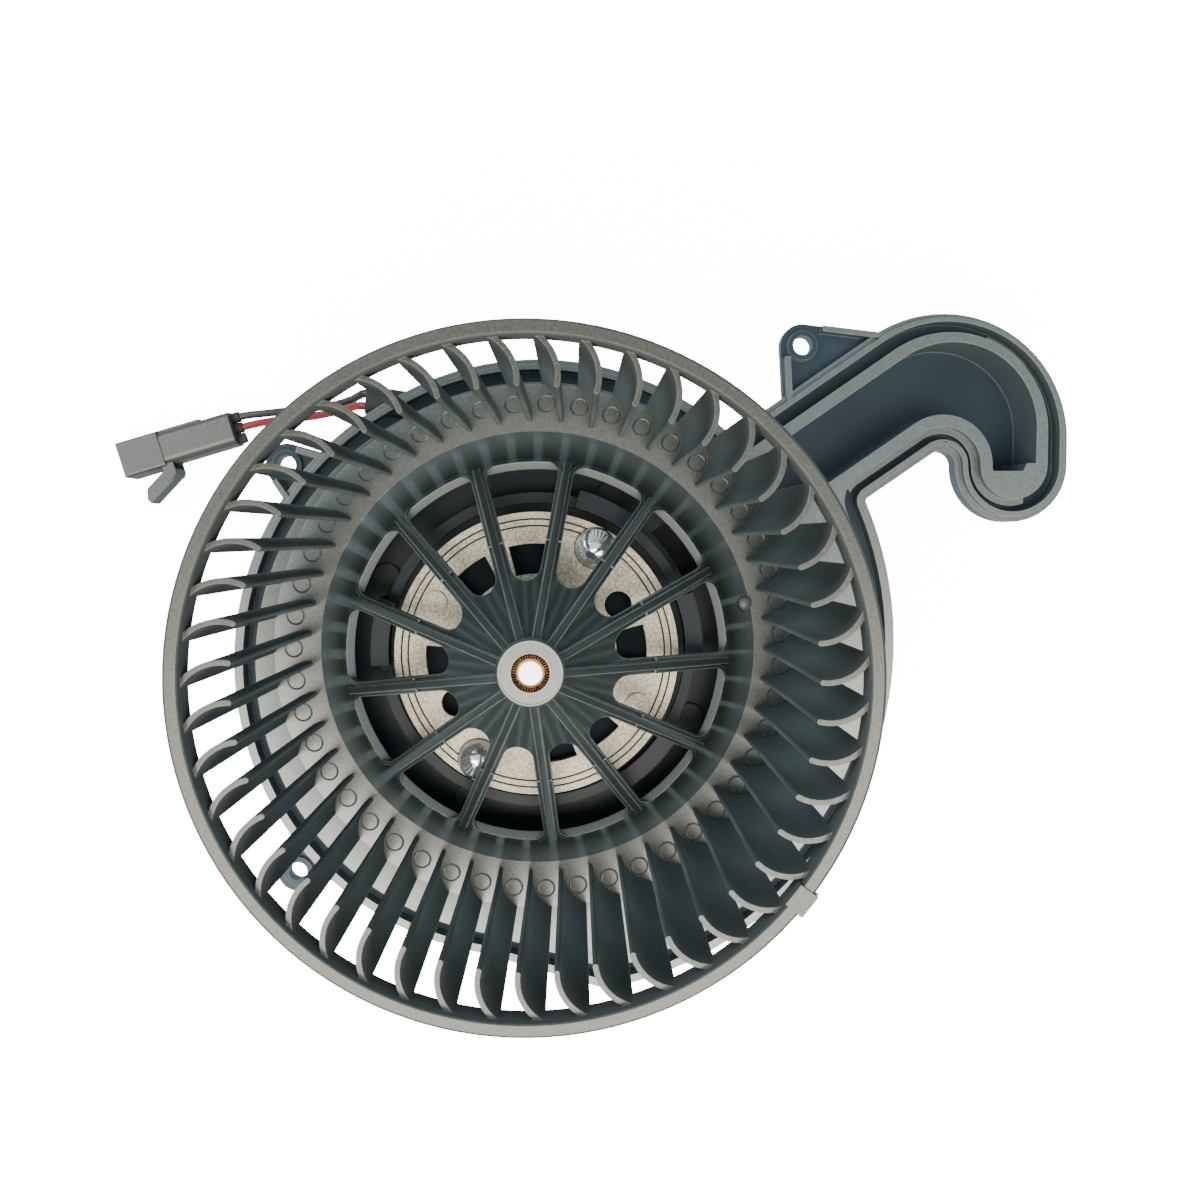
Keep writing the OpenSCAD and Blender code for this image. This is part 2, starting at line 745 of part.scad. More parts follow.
// Fibre washers on the shaft beside both bearings
module thrust_washers() {
    color([0.5, 0.2, 0.12]) {
        tube(washer_r, shaft_r + running_fit, front_washer_z, front_washer_z + washer_t);
        tube(washer_r, shaft_r + running_fit, rear_washer_z, rear_washer_z + washer_t);
    }
}

// Both tie bolt positions
module at_bolts() {
    for (s = [0, 180]) rotate(bolt_angle + s) translate([bolt_circle_r, 0, 0]) children();
}

// Drawn steel can with a closed rear end and a bearing hump
module motor_can() {
    color([0.6, 0.6, 0.6]) difference() {
        union() {
            tube(can_r, 0, can_z, can_top);
            translate([0, 0, can_z - hump_drop]) cylinder(r = hump_r, h = hump_drop + eps);
        }
        translate([0, 0, can_floor]) cylinder(r = can_in_r, h = can_top);
        translate([0, 0, rear_bearing_z]) cylinder(r = bearing_r + slip_fit, h = can_z);
        at_bolts() translate([0, 0, can_z - eps]) cylinder(d = bolt_d + 2 * slip_fit, h = 2 * can_wall);
    }
}

// One of the end plate's air slots
module air_slot2d() {
    intersection() {
        ring2d(air_slot_out, air_slot_in);
        sector2d(-air_slot_a / 2, air_slot_a / 2);
    }
}

// Pressed end plate: air slots and holes, bearing hump, two dots and two fine grooves
module front_end_plate() {
    slot_angles = [34, 66, 124, 221, 248, 305];
    hole_angles = [150, 330];
    dot_angles = [92, 272];
    color([0.83, 0.8, 0.74]) difference() {
        union() {
            translate([0, 0, can_top]) cylinder(r = motor_d / 2, h = end_plate_t);
            rotate_extrude() polygon([
                [0, motor_top_z - 1], [front_hump_r + hump_wall, motor_top_z - 1],
                [front_hump_r + hump_wall, motor_top_z], [front_hump_r, motor_top_z + hump_wall],
                [front_hump_r, motor_top_z + front_hump_h - hump_wall],
                [front_hump_r - hump_wall, motor_top_z + front_hump_h], [0, motor_top_z + front_hump_h]
            ]);
            for (a = dot_angles) rotate(bolt_angle + a) translate([dot_r, 0, motor_top_z - eps])
                cylinder(d = dot_d, h = dot_h);
        }
        translate([0, 0, can_top - eps])
            cylinder(r = bearing_r + slip_fit, h = front_bearing_z + bearing_h - can_top + slip_fit);
        translate([0, 0, can_top]) cylinder(r = shaft_hole_r, h = 2 * front_hump_h);
        for (a = slot_angles) rotate(bolt_angle + a) translate([0, 0, can_top - 1])
            linear_extrude(2 * end_plate_t) air_slot2d();
        for (a = hole_angles) rotate(bolt_angle + a) translate([air_hole_r, 0, can_top - 1])
            cylinder(d = air_hole_d, h = 2 * end_plate_t);
        for (r = groove_r) tube(r + groove_w / 2, r - groove_w / 2, motor_top_z - groove_w, motor_top_z + 1);
        at_bolts() translate([0, 0, can_top - 1]) cylinder(d = bolt_d + 2 * slip_fit, h = 2 * end_plate_t);
    }
}

// Long bolts with domed heads that hold the end plate to the can
module tie_bolts() {
    head_h = 5.5;
    head_r = bolt_head_d / 2;
    ball_r = (head_r * head_r + head_h * head_h) / (2 * head_h);
    color([0.9, 0.9, 0.9]) at_bolts() {
        translate([0, 0, can_z]) cylinder(d = bolt_d, h = motor_top_z - can_z + eps);
        intersection() {
            translate([0, 0, motor_top_z + head_h - ball_r]) sphere(ball_r);
            translate([0, 0, motor_top_z]) cylinder(r = head_r, h = head_h);
        }
    }
}

// Barrel-shaped sintered bearing
module bearing(z) {
    color([0.7, 0.55, 0.3]) translate([0, 0, z + bearing_h / 2]) difference() {
        intersection() {
            sphere(bearing_r);
            cylinder(r = bearing_r, h = bearing_h, center = true);
        }
        cylinder(r = shaft_r + running_fit, h = 2 * bearing_h, center = true);
    }
}

module front_bearing() {
    bearing(front_bearing_z);
}

module rear_bearing() {
    bearing(rear_bearing_z);
}

// Spring washers that hold the bearings in their humps
module bearing_retainers() {
    nose_r = shaft_r + 1.4;
    nose_out = shaft_r + 2.6;
    cage_in = bearing_r + part_gap;
    cage_top = rear_bearing_z + bearing_h + slip_fit;
    color([0.75, 0.76, 0.78]) {
        tube(retainer_r, nose_r, can_top - retainer_t, can_top);
        tube(nose_out, nose_r, can_top - eps, front_bearing_z - slip_fit);
        tube(retainer_r, cage_in, can_floor, can_floor + retainer_t);
        tube(cage_in + retainer_t, cage_in, can_floor, cage_top + retainer_t);
        tube(cage_in + retainer_t, nose_r, cage_top, cage_top + retainer_t);
    }
}

module field_magnets() {
    color([0.2, 0.2, 0.22]) for (s = [90, 270]) rotate(bolt_angle + s)
        translate([0, 0, magnet_z]) linear_extrude(magnet_len) intersection() {
            ring2d(magnet_out_r, magnet_in_r);
            sector2d(-magnet_span, magnet_span);
        }
}

module brush_card() {
    post_angles = [45, 90, 225, 270];
    bolt_room = 1;
    color([0.45, 0.3, 0.18]) difference() {
        union() {
            tube(card_out_r, card_in_r, card_z, card_z + card_t);
            for (a = post_angles) rotate(bolt_angle + a) translate([card_post_at, 0, card_z])
                cylinder(r = card_post_r, h = can_top - card_z);
        }
        at_bolts() translate([0, 0, card_z - 1]) cylinder(d = bolt_d + bolt_room, h = 2 * card_t);
    }
}

// Both brush positions, with x pointing outward
module at_brushes() {
    for (s = [0, 180]) rotate(brush_angle + s) translate([0, 0, card_z - holder_h / 2]) children();
}

module brush_holders() {
    bore_w = holder_w - 2 * holder_wall;
    bore_h = holder_h - 2 * holder_wall;
    color([0.8, 0.65, 0.3]) at_brushes() difference() {
        translate([holder_in, -holder_w / 2, -holder_h / 2])
            cube([holder_out - holder_in, holder_w, holder_h]);
        translate([holder_in - 1, -bore_w / 2, -bore_h / 2])
            cube([holder_out - holder_in + 1 - holder_wall, bore_w, bore_h]);
    }
}

module brushes() {
    w = holder_w - 2 * (holder_wall + brush_clear);
    h = holder_h - 2 * (holder_wall + brush_clear);
    color([0.15, 0.15, 0.16]) at_brushes() translate([brush_in, -w / 2, -h / 2]) cube([brush_len, w, h]);
}

// Coil springs behind the brushes, each drawn as one wavy sleeve
module brush_springs() {
    x0 = brush_in + brush_len + slip_fit;
    pitch = (holder_out - holder_wall - slip_fit - x0) / spring_turns;
    crest = [for (i = [0:2 * spring_turns]) [spring_r - spring_wire * (i % 2), pitch * i / 2]];
    color([0.8, 0.8, 0.8]) at_brushes() translate([x0, 0, 0]) rotate([0, 90, 0]) rotate_extrude()
        polygon(concat([[spring_r - 2 * spring_wire, 0]], crest,
            [[spring_r - 2 * spring_wire, pitch * spring_turns]]));
}

module front_isolator() {
    color([0.12, 0.12, 0.12])
        tube(collar_in_r - slip_fit, can_r + slip_fit, collar_top - isolator_h, collar_top - 1);
}

module rear_isolator() {
    color([0.12, 0.12, 0.12]) tube(rear_rubber_r, rear_rubber_in, cover_floor, can_z);
}

// Plan of the scroll, moved in by d from its outer edge
module scroll2d(d) {
    ramp_way = atan2(ramp_q[1] - ramp_p[1], ramp_q[0] - ramp_p[0]);
    circle(scroll_r0 - d);
    intersection() {
        translate(scroll_c) circle(scroll_r0 + scroll_grow - scroll_dip - d);
        sector2d(scroll_s0, scroll_s1);
    }
    intersection() {
        circle(scroll_r1 - d);
        sector2d(ramp_a, arm_angle + 360);
        translate(ramp_p) rotate(ramp_way) translate([-far, d]) square([2 * far, far]);
    }
}

// Plan of the duct arm, moved in by d from its outer edge: straight part, bend, lobe and the
// filled corner beside the hook, each overlapping the next
module arm2d(d) {
    bend = bend_at(d);
    round_r = bend_r_at(d);
    hook = hook_r + d;
    hook_cut = hook + swell;
    side_x = hook_c[0] + hook;
    lobe = (bend[0] + round_r - side_x) / 2;
    low_v = arm_v_low + d;
    corner = [side_x, (low_v - side_x * arm_v[0]) / arm_v[1]];
    lap = 1;
    lap_a = 15;
    rotate(arm_angle) translate([arm_start, low_v])
        square([bend * arm_u - arm_start, bend * arm_v + round_r - low_v]);
    difference() {
        intersection() {
            translate(bend) circle(round_r + swell);
            translate(bend) sector2d(-lap_a, arm_angle + 90 + lap_a);
        }
        translate(hook_c) circle(hook_cut);
    }
    translate([side_x, lobe_y]) square([2 * lobe, bend[1] - lobe_y]);
    translate([side_x + lobe, lobe_y]) circle(lobe + swell);
    difference() {
        polygon([hook_c, hook_c + (hook + lap) * arm_v, corner + [lap, lap], [side_x + lap, lobe_y]]);
        translate(hook_c) circle(hook_cut);
    }
}

// Rounded inner corner between the scroll and the arm, moved in by d
module corner2d(d) {
    lap = 1;
    reach = corner_r + d + lap;
    to_scroll = corner_c - reach * unit(corner_c);
    to_arm = corner_c + reach * arm_v;
    difference() {
        polygon([corner_c, to_arm, to_arm - 2 * reach * arm_u, to_scroll]);
        translate(corner_c) circle(corner_r + d + swell);
    }
}

// Plan of the whole plate, moved in by d
module outline2d(d) {
    scroll2d(d);
    arm2d(d);
    corner2d(d);
}

// Plan of the pad that ends the duct, with its small step, moved back by wall
module duct_end2d(wall) {
    y0 = duct_end_y - wall;
    polygon([
        [hook_c[0], y0 - far], [far, y0 - far], [far, y0 + pad_step_h],
        [pad_step_x + pad_step_h / 2, y0 + pad_step_h], [pad_step_x, y0], [hook_c[0], y0]
    ]);
}

// Plan of the duct's inside, moved out by wall
module duct2d(wall) {
    difference() {
        arm2d(inset_5 - wall);
        circle(collar_r + duct_wall - wall);
        duct_end2d(wall);
    }
}

// Rim round the plate, with its low skirt and its groove
module rim() {
    skirt_over = 1;
    difference() {
        translate([0, 0, rim_low]) linear_extrude(rim_h) difference() {
            outline2d(0);
            outline2d(inset_5);
        }
        translate([0, 0, plate_z - skirt_drop]) linear_extrude(skirt_drop + 1) difference() {
            outline2d(-skirt_over);
            outline2d(inset_1);
        }
    }
}

// Step beside the rail, along the arm's lower side and round the hook
module rim_step() {
    bury = 1;
    low = plate_z - rim_groove_h - bury;
    translate([0, 0, low]) linear_extrude(rim_groove_h + bury - step_drop) intersection() {
        difference() {
            outline2d(inset_3);
            outline2d(inset_4 + bury);
        }
        rotate(arm_angle) translate([step_u, -far]) square([far, far]);
        translate([0, -far]) square([step_x, 2 * far]);
    }
}

// Gusset standing on an ear beside its flank from base p to tip t; c is the hole's centre
module gusset(p, t, c) {
    step = 0.6;
    tip_share = 0.8;
    way = unit(t - p);
    side = [-way[1], way[0]];
    inward = side * (c - p) > 0 ? side : -side;
    tip = p + tip_share * (t - p);
    polygon([
        p + step * inward, tip + step * inward,
        tip + (step + gusset_t) * inward, p + (step + gusset_t) * inward
    ]);
}

// Mounting ear: round end, two straight flanks from p and q, a gusset beside each flank
module mount_ear(c, p, q) {
    tp = tangent_pt(p, c, ear_r, -1);
    tq = tangent_pt(q, c, ear_r, 1);
    middle = (p + q) / 2;
    gusset_h = rim_h - 1;
    seat_h = 1.5;
    translate([0, 0, rim_low]) {
        linear_extrude(ear_t) {
            translate(c) circle(ear_r + swell);
            polygon([c, tp, p, middle - (c - middle) / 4, q, tq]);
        }
        linear_extrude(gusset_h) {
            gusset(p, tp, c);
            gusset(q, tq, c);
        }
        translate(c) cylinder(r = ear_hole_d / 2 + 2, h = ear_t + seat_h);
    }
}

// Ear on the scroll's rim, pointing straight out
module rim_ear(c) {
    a = atan2(c[1], c[0]);
    base = c - polar(ear_r + gusset_t, a);
    side = polar(ear_r + 2 * gusset_t, a + 90);
    mount_ear(c, base + side, base - side);
}

// Ear on the arm's upper edge
module arm_ear(c) {
    foot = (arm_v_top - gusset_t) * arm_v;
    near = 17;
    reach = 27;
    mount_ear(c, (c * arm_u - near) * arm_u + foot, (c * arm_u + reach) * arm_u + foot);
}

// Frame of the lead's exit: x along the grommet, outward
module at_lead_exit() {
    translate([lead_exit[0], lead_exit[1], grommet_z]) rotate(grommet_a) children();
}

// Stadium-shaped bar along x
module grommet_bar(w, h, l) {
    rotate([90, 0, 90]) linear_extrude(l) {
        square([w - h, h], center = true);
        for (s = [-1, 1]) translate([s * (w - h) / 2, 0]) circle(d = h);
    }
}

// Covered way for the leads under the plate
module lead_duct() {
    translate([0, 0, lead_duct_low]) linear_extrude(plate_low - lead_duct_low + eps) intersection() {
        outline2d(0);
        translate(lead_exit) rotate(lead_duct_a) translate([-lead_duct_l, -lead_duct_w / 2])
            square([2 * lead_duct_l, lead_duct_w]);
    }
}

// All cover screw positions
module at_cover_screws() {
    for (i = [0:cover_screw_count - 1]) rotate(cover_screw_a + i * 360 / cover_screw_count)
        translate([cover_screw_r, 0, 0]) children();
}

// Opening that lets the duct's air into the rear cover
module air_port() {
    rotate(arm_angle) translate([cover_in_r - 2, (arm_v_top + arm_v_low - port_w) / 2, port_low])
        cube([cover_wall + 2 * duct_wall + 2, port_w, port_high - port_low]);
}

// Plate, rim, duct and holder before the step is set in
module plate_body() {
    difference() {
        union() {
            rim();
            translate([0, 0, plate_low]) linear_extrude(plate_t) outline2d(inset_4);
            translate([0, 0, duct_low]) linear_extrude(plate_low - duct_low + eps) duct2d(duct_wall);
            tube(collar_r, collar_in_r, plate_low, collar_top);
            for (a = lug_angles) translate([0, 0, plate_low])
                linear_extrude(collar_top + lug_rise - plate_low) intersection() {
                    ring2d(collar_r + lug_out, collar_in_r);
                    sector2d(a - lug_span / 2, a + lug_span / 2);
                }
            lead_duct();
            at_cover_screws() translate([0, 0, plate_low])
                cylinder(r = screw_boss_r, h = plate_t + screw_boss_h);
            translate([0, 0, rim_low]) linear_extrude(rim_h - plate_t + eps) intersection() {
                outline2d(inset_5 - 1);
                for (a = back_rib_angles) rotate(a) translate([flange_r + 1, -back_rib_t / 2])
                    square([far, back_rib_t]);
            }
            arm_ear(ear_1);
            rim_ear(ear_2);
            rim_ear(ear_3);
        }
        translate([0, 0, plate_z - rim_groove_h]) linear_extrude(rim_groove_h + 1) difference() {
            outline2d(inset_2);
            outline2d(inset_4);
        }
        translate([0, 0, duct_floor]) linear_extrude(duct_depth + 1) duct2d(0);
        translate([0, 0, rim_low]) cylinder(r = collar_in_r, h = 2 * rim_h);
        cylinder(r = cover_r + part_gap, h = plate_low);
        air_port();
        at_cover_screws() translate([0, 0, rim_low]) cylinder(d = cover_screw_d + slip_fit, h = rim_h + 1);
        for (c = [ear_1, ear_2, ear_3]) translate([c[0], c[1], rim_low - 1])
            cylinder(d = ear_hole_d, h = rim_h);
        at_lead_exit() translate([-grommet_in, 0, 0])
            grommet_bar(grommet_w + 2 * slip_fit, grommet_h + 2 * slip_fit, grommet_out + grommet_in);
    }
}

// Black moulding: scroll plate with a lipped rim, duct arm, motor collar and ears
module scroll_plate() {
    color([0.16, 0.18, 0.2]) {
        plate_body();
        rim_step();
    }
}

// Closed cup behind the plate, with a flange cut back at the air duct and the lead duct
module rear_cover() {
    flange_low = plate_low - flange_t;
    color([0.13, 0.14, 0.15]) difference() {
        rotate_extrude() polygon([
            [0, 0], [cover_r - cover_round, 0], [cover_r, cover_round], [cover_r, flange_low],
            [flange_r, flange_low], [flange_r, plate_low], [cover_in_r, plate_low],
            [cover_in_r, cover_floor + cover_round], [cover_in_r - cover_round, cover_floor], [0, cover_floor]
        ]);
        translate([0, 0, flange_low - 1]) linear_extrude(2 * flange_t) difference() {
            arm2d(inset_5 - duct_wall - part_gap);
            circle(cover_r);
        }
        translate([0, 0, flange_low - 1]) linear_extrude(2 * flange_t) difference() {
            translate(lead_exit) rotate(lead_duct_a) translate([-lead_duct_l, -lead_duct_w / 2 - part_gap])
                square([lead_duct_l, lead_duct_w + 2 * part_gap]);
            circle(cover_r);
        }
        air_port();
        at_cover_screws() translate([0, 0, flange_low - 1])
            cylinder(d = cover_screw_d + slip_fit, h = 2 * flange_t);
    }
}

module cover_screws() {
    head_z = plate_low - flange_t - screw_head_h;
    recess = 2;
    color([0.7, 0.7, 0.72]) at_cover_screws() difference() {
        union() {
            translate([0, 0, head_z]) cylinder(d = cover_head_d, h = screw_head_h);
            translate([0, 0, head_z]) cylinder(d = cover_screw_d, h = screw_head_h + flange_t + plate_t + 1);
        }
        for (a = [0, 90]) rotate(a) translate([-recess, -0.5, head_z - 1]) cube([2 * recess, 1, recess]);
    }
}

module lead_grommet() {
    bore = lead_d + 2 * lead_slack;
    color([0.1, 0.1, 0.1]) at_lead_exit() difference() {
        translate([-grommet_in + slip_fit, 0, 0]) grommet_bar(grommet_w, grommet_h, grommet_in + grommet_out);
        for (s = [-1, 1]) translate([-grommet_in, s * lead_pitch / 2, 0]) rotate([0, 90, 0])
            cylinder(d = bore, h = 2 * grommet_out + grommet_in);
    }
}

// Round tube swept along a route
module lead(route) {
    last = len(route) - 1;
    ways = [for (i = [0:last]) unit(route[min(i + 1, last)] - route[max(i - 1, 0)])];
    sides = [for (w = ways) unit(cross(w, [0, 0, 1]))];
    pts = [
        for (i = [0:last]) for (k = [0:lead_sides - 1]) let (a = 360 * k / lead_sides)
            route[i] + lead_d / 2 * (cos(a) * sides[i] + sin(a) * cross(sides[i], ways[i]))
    ];
    skin = [
        for (i = [0:last - 1]) for (k = [0:lead_sides - 1])
            let (n = (k + 1) % lead_sides, p = i * lead_sides, q = p + lead_sides)
            each [[p + k, p + n, q + n], [p + k, q + n, q + k]]
    ];
    caps = [
        [for (k = [lead_sides - 1:-1:0]) k],
        [for (k = [0:lead_sides - 1]) last * lead_sides + k]
    ];
    polyhedron(pts, concat(skin, caps));
}

module red_lead() {
    color([0.8, 0.25, 0.2]) lead(red_route);
}

module black_lead() {
    color([0.08, 0.08, 0.08]) lead(black_route);
}

// Connector frame: x from rear to front along the connector
module at_connector() {
    translate([connector_at[0], connector_at[1], 0]) rotate(connector_angle) children();
}

// Bar with a rounded section along x
module connector_bar(x0, l, w, r) {
    translate([x0, 0, connector_axis_z]) rotate([90, 0, 90]) linear_extrude(l) round_rect(w, w, r);
}

module connector_housing() {
    bore_w = connector_front_w - 2 * shroud_wall;
    fork_gap = part_gap;
    fork_y = connector_front_w / 2 - 1;
    color([0.5, 0.5, 0.48]) at_connector() difference() {
        union() {
            connector_bar(0, connector_rear_l + 1, connector_rear_w, 3);
            connector_bar(connector_rear_l, connector_front_l, connector_front_w, 1.2);
            translate([connector_rear_l - ridge_l, 0, connector_axis_z])
                translate([0, -connector_rear_w / 2 - ridge_h, -ridge_w])
                    cube([ridge_l + 1, ridge_h + 3, 2 * ridge_w]);
            for (z = [latch_z - fork_gap - latch_fork_t, latch_z + latch_h + fork_gap]) {
                translate([latch_x - latch_eye_r, fork_y, z])
                    cube([2 * latch_eye_r, latch_y - fork_y, latch_fork_t]);
                translate([latch_x, latch_y, z]) cylinder(r = latch_eye_r, h = latch_fork_t);
            }
            translate([latch_x, latch_y, latch_z - 1]) cylinder(r = latch_pin_r, h = latch_h + 2);
        }
        connector_bar(connector_l - shroud_depth, shroud_depth + 1, bore_w, 0.8);
    }
}

// Unlatching lever on its pin, standing away from the shroud
module connector_latch() {
    color([0.45, 0.45, 0.43]) at_connector() translate([latch_x, latch_y, latch_z]) difference() {
        linear_extrude(latch_h) rotate(latch_angle) {
            circle(latch_eye_r);
            polygon([
                [0, -latch_eye_r], [latch_start + 1, -latch_t / 2], [latch_len - latch_nose, -latch_t / 2],
                [latch_len, -latch_t / 2 + latch_nose], [latch_len, latch_t / 2],
                [latch_start, latch_t / 2], [0, latch_eye_r]
            ]);
        }
        translate([0, 0, -1]) cylinder(r = latch_pin_r + latch_pin_fit, h = latch_h + 2);
    }
}

// Two contacts, in line with the leads
module connector_terminals() {
    color([0.8, 0.7, 0.45]) at_connector() for (k = [-1, 0])
        translate([connector_l - shroud_depth, k * seal_pitch, connector_axis_z])
            translate([0, -terminal_t / 2, -terminal_w / 2]) cube([terminal_l, terminal_t, terminal_w]);
}

// Seals round both leads, and a blank plug in the third way
module wire_seals() {
    color([0.2, 0.2, 0.2]) at_connector() for (k = [-1, 0, 1])
        translate([-seal_l, k * seal_pitch, connector_axis_z]) rotate([0, 90, 0]) difference() {
            cylinder(r = seal_r, h = seal_l);
            if (k < 1) translate([0, 0, -1]) cylinder(d = lead_d + 2 * lead_slack, h = seal_l + 2);
        }
}

blower_wheel();
hub_bush();
motor_shaft();
balance_clip();
balance_pin();
armature_core();
armature_winding();
commutator();
thrust_washers();
motor_can();
front_end_plate();
tie_bolts();
front_bearing();
rear_bearing();
bearing_retainers();
field_magnets();
brush_card();
brush_holders();
brushes();
brush_springs();
front_isolator();
rear_isolator();
scroll_plate();
rear_cover();
cover_screws();
lead_grommet();
red_lead();
black_lead();
connector_housing();
connector_latch();
connector_terminals();
wire_seals();
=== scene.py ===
# Looks of a heater blower motor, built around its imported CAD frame.
import math

import bpy
import numpy as np
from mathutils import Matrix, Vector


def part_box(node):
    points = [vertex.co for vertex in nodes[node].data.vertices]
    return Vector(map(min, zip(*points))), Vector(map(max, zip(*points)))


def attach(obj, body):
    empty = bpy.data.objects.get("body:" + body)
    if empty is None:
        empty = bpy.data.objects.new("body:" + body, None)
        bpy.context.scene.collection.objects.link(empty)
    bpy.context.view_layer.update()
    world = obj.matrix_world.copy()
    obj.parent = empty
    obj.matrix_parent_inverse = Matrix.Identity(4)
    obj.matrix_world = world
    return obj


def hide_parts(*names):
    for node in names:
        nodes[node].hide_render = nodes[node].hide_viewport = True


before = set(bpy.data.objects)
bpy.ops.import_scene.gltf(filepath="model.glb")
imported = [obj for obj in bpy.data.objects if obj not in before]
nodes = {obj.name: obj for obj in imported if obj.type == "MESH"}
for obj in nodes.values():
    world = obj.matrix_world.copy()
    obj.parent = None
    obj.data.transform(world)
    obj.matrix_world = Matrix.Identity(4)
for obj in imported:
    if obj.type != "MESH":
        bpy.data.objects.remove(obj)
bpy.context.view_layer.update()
mm = 0.001
bumpDepth = 0.0001  # m, what one unit of a bump pattern stands for
print("frame loaded:", len(nodes), "nodes")


# camera: almost straight down into the wheel, from a short distance
camera = {
    "place": (12.6, 38.4, 459.7),  # mm, in the part's frame
    "turn": (-3.1, -1.265, 0.0),  # degrees about X, Y and Z
    "lens": 34.5, "sensor": 36.0,  # mm
    "clip": (0.01, 50.0),  # m
}


def makeCamera(s):
    data = bpy.data.cameras.new("photoCamera")
    data.lens = s["lens"]
    data.sensor_width = s["sensor"]
    data.clip_start, data.clip_end = s["clip"]
    cam = bpy.data.objects.new("photoCamera", data)
    cam.location = [v * mm for v in s["place"]]
    cam.rotation_euler = [math.radians(v) for v in s["turn"]]
    bpy.context.scene.collection.objects.link(cam)
    bpy.context.scene.camera = cam


makeCamera(camera)
print("camera made")


# shader values: one wrapped socket, with arithmetic that adds Math nodes
class Wire:
    def __init__(self, tree, socket=None):
        self.tree = tree
        self.socket = socket

    def make(self, kind, settings=None, out=0, **sockets):  # any node: settings first, then sockets
        node = self.tree.nodes.new("ShaderNode" + kind)
        for name, value in (settings or {}).items():
            setattr(node, name, value)
        for name, value in sockets.items():
            key = int(name[1:]) if name[1:].isdigit() else name.replace("_", " ")  # i0 is input 0
            if isinstance(value, Wire):
                self.tree.links.new(value.socket, node.inputs[key])
            else:
                node.inputs[key].default_value = value
        return Wire(self.tree, node.outputs[out])

    def output(self, out):  # another output of the same node
        return Wire(self.tree, self.socket.node.outputs[out])

    def split(self):  # x, y and z of a vector
        first = self.make("SeparateXYZ", Vector=self)
        return [first.output(i) for i in range(3)]

    def math(self, operation, a, b=0.0, c=0.0):
        return self.make("Math", {"operation": operation}, i0=a, i1=b, i2=c)

    def __add__(self, other):
        return self.math("ADD", self, other)

    def __radd__(self, other):
        return self.math("ADD", other, self)

    def __sub__(self, other):
        return self.math("SUBTRACT", self, other)

    def __rsub__(self, other):
        return self.math("SUBTRACT", other, self)

    def __mul__(self, other):
        return self.math("MULTIPLY", self, other)

    def __rmul__(self, other):
        return self.math("MULTIPLY", other, self)

    def __truediv__(self, other):
        return self.math("DIVIDE", self, other)

    def __rtruediv__(self, other):
        return self.math("DIVIDE", other, self)

    def __abs__(self):
        return self.math("ABSOLUTE", self)

    def sqrt(self):
        return self.math("SQRT", self)

    def wrap(self, low, high):  # repeats a value between low and high
        return self.math("WRAP", self, high, low)

    def most(self, other):
        return self.math("MAXIMUM", self, other)

    def smooth(self, low, high):  # 0 at low, 1 at high, eased between them
        settings = {"interpolation_type": "SMOOTHSTEP"}
        return self.make("MapRange", settings, Value=self, From_Min=low, From_Max=high)

    def near(self, centre, width):  # 1 at centre, falling to 0 at width from it
        return abs(self - centre).smooth(width, 0.0)


def blend(factor, a, b):  # colour a where factor is 0, b where it is 1
    # inputs 6 and 7 and output 2 of a Mix node are its colours
    colours = [(*c, 1.0) if isinstance(c, tuple) else c for c in (a, b)]
    return factor.make("Mix", {"data_type": "RGBA"}, out=2, i0=factor, i6=colours[0], i7=colours[1])


# a finish is a Principled shader whose colour, roughness, sheen and bump come from a paint function
class Finish:
    def __init__(self, name, **constants):
        self.material = bpy.data.materials.new(name)
        self.material.use_nodes = True
        self.tree = self.material.node_tree
        self.shader = self.tree.nodes["Principled BSDF"]
        for key, value in constants.items():
            self.shader.inputs[key.replace("_", " ")].default_value = value
        self.place = Wire(self.tree).make("TexCoord", out="Object")
        self.x, self.y, self.z = [v / mm for v in self.place.split()]  # mm
        self.radius = (self.x * self.x + self.y * self.y).sqrt()
        self.angle = self.x.math("ARCTAN2", self.y, self.x) * (180.0 / math.pi)
        across, along, self.facing = self.place.output("Normal").split()  # facing is 1 on upper faces
        self.inward = (across * self.x + along * self.y) / self.radius * -1.0  # 1 looking at the shaft

    def noise(self, scale, detail=3.0, rough=0.55):  # grains per metre
        return self.place.make("TexNoise", Vector=self.place, Scale=scale, Detail=detail, Roughness=rough)

    def cells(self, scale):
        return self.place.make("TexVoronoi", Vector=self.place, Scale=scale)

    def rounded(self, radius):  # the normal, as if edges had this radius in metres
        return self.place.make("Bevel", {"samples": 4}, Radius=radius)

    def edges(self, radius, low=0.02, high=0.2):  # 1 along sharp edges, 0 on flat faces
        plain = self.place.make("NewGeometry", out="Normal")
        settings = {"operation": "DOT_PRODUCT"}
        same = self.place.make("VectorMath", settings, out="Value", i0=self.rounded(radius), i1=plain)
        return (1.0 - same).smooth(low, high)

    def feed(self, name, wire):
        self.tree.links.new(wire.socket, self.shader.inputs[name])

    def colour(self, wire):
        self.feed("Base Color", wire)

    def roughness(self, wire):
        self.feed("Roughness", wire)

    def sheen(self, wire):
        self.feed("Coat Weight", wire)

    def bump(self, height, strength, radius=0.0):  # over edges softened by radius, in metres
        rest = {"Normal": self.rounded(radius)} if radius else {}
        self.feed("Normal", height.make("Bump", Strength=strength, Distance=bumpDepth, Height=height, **rest))


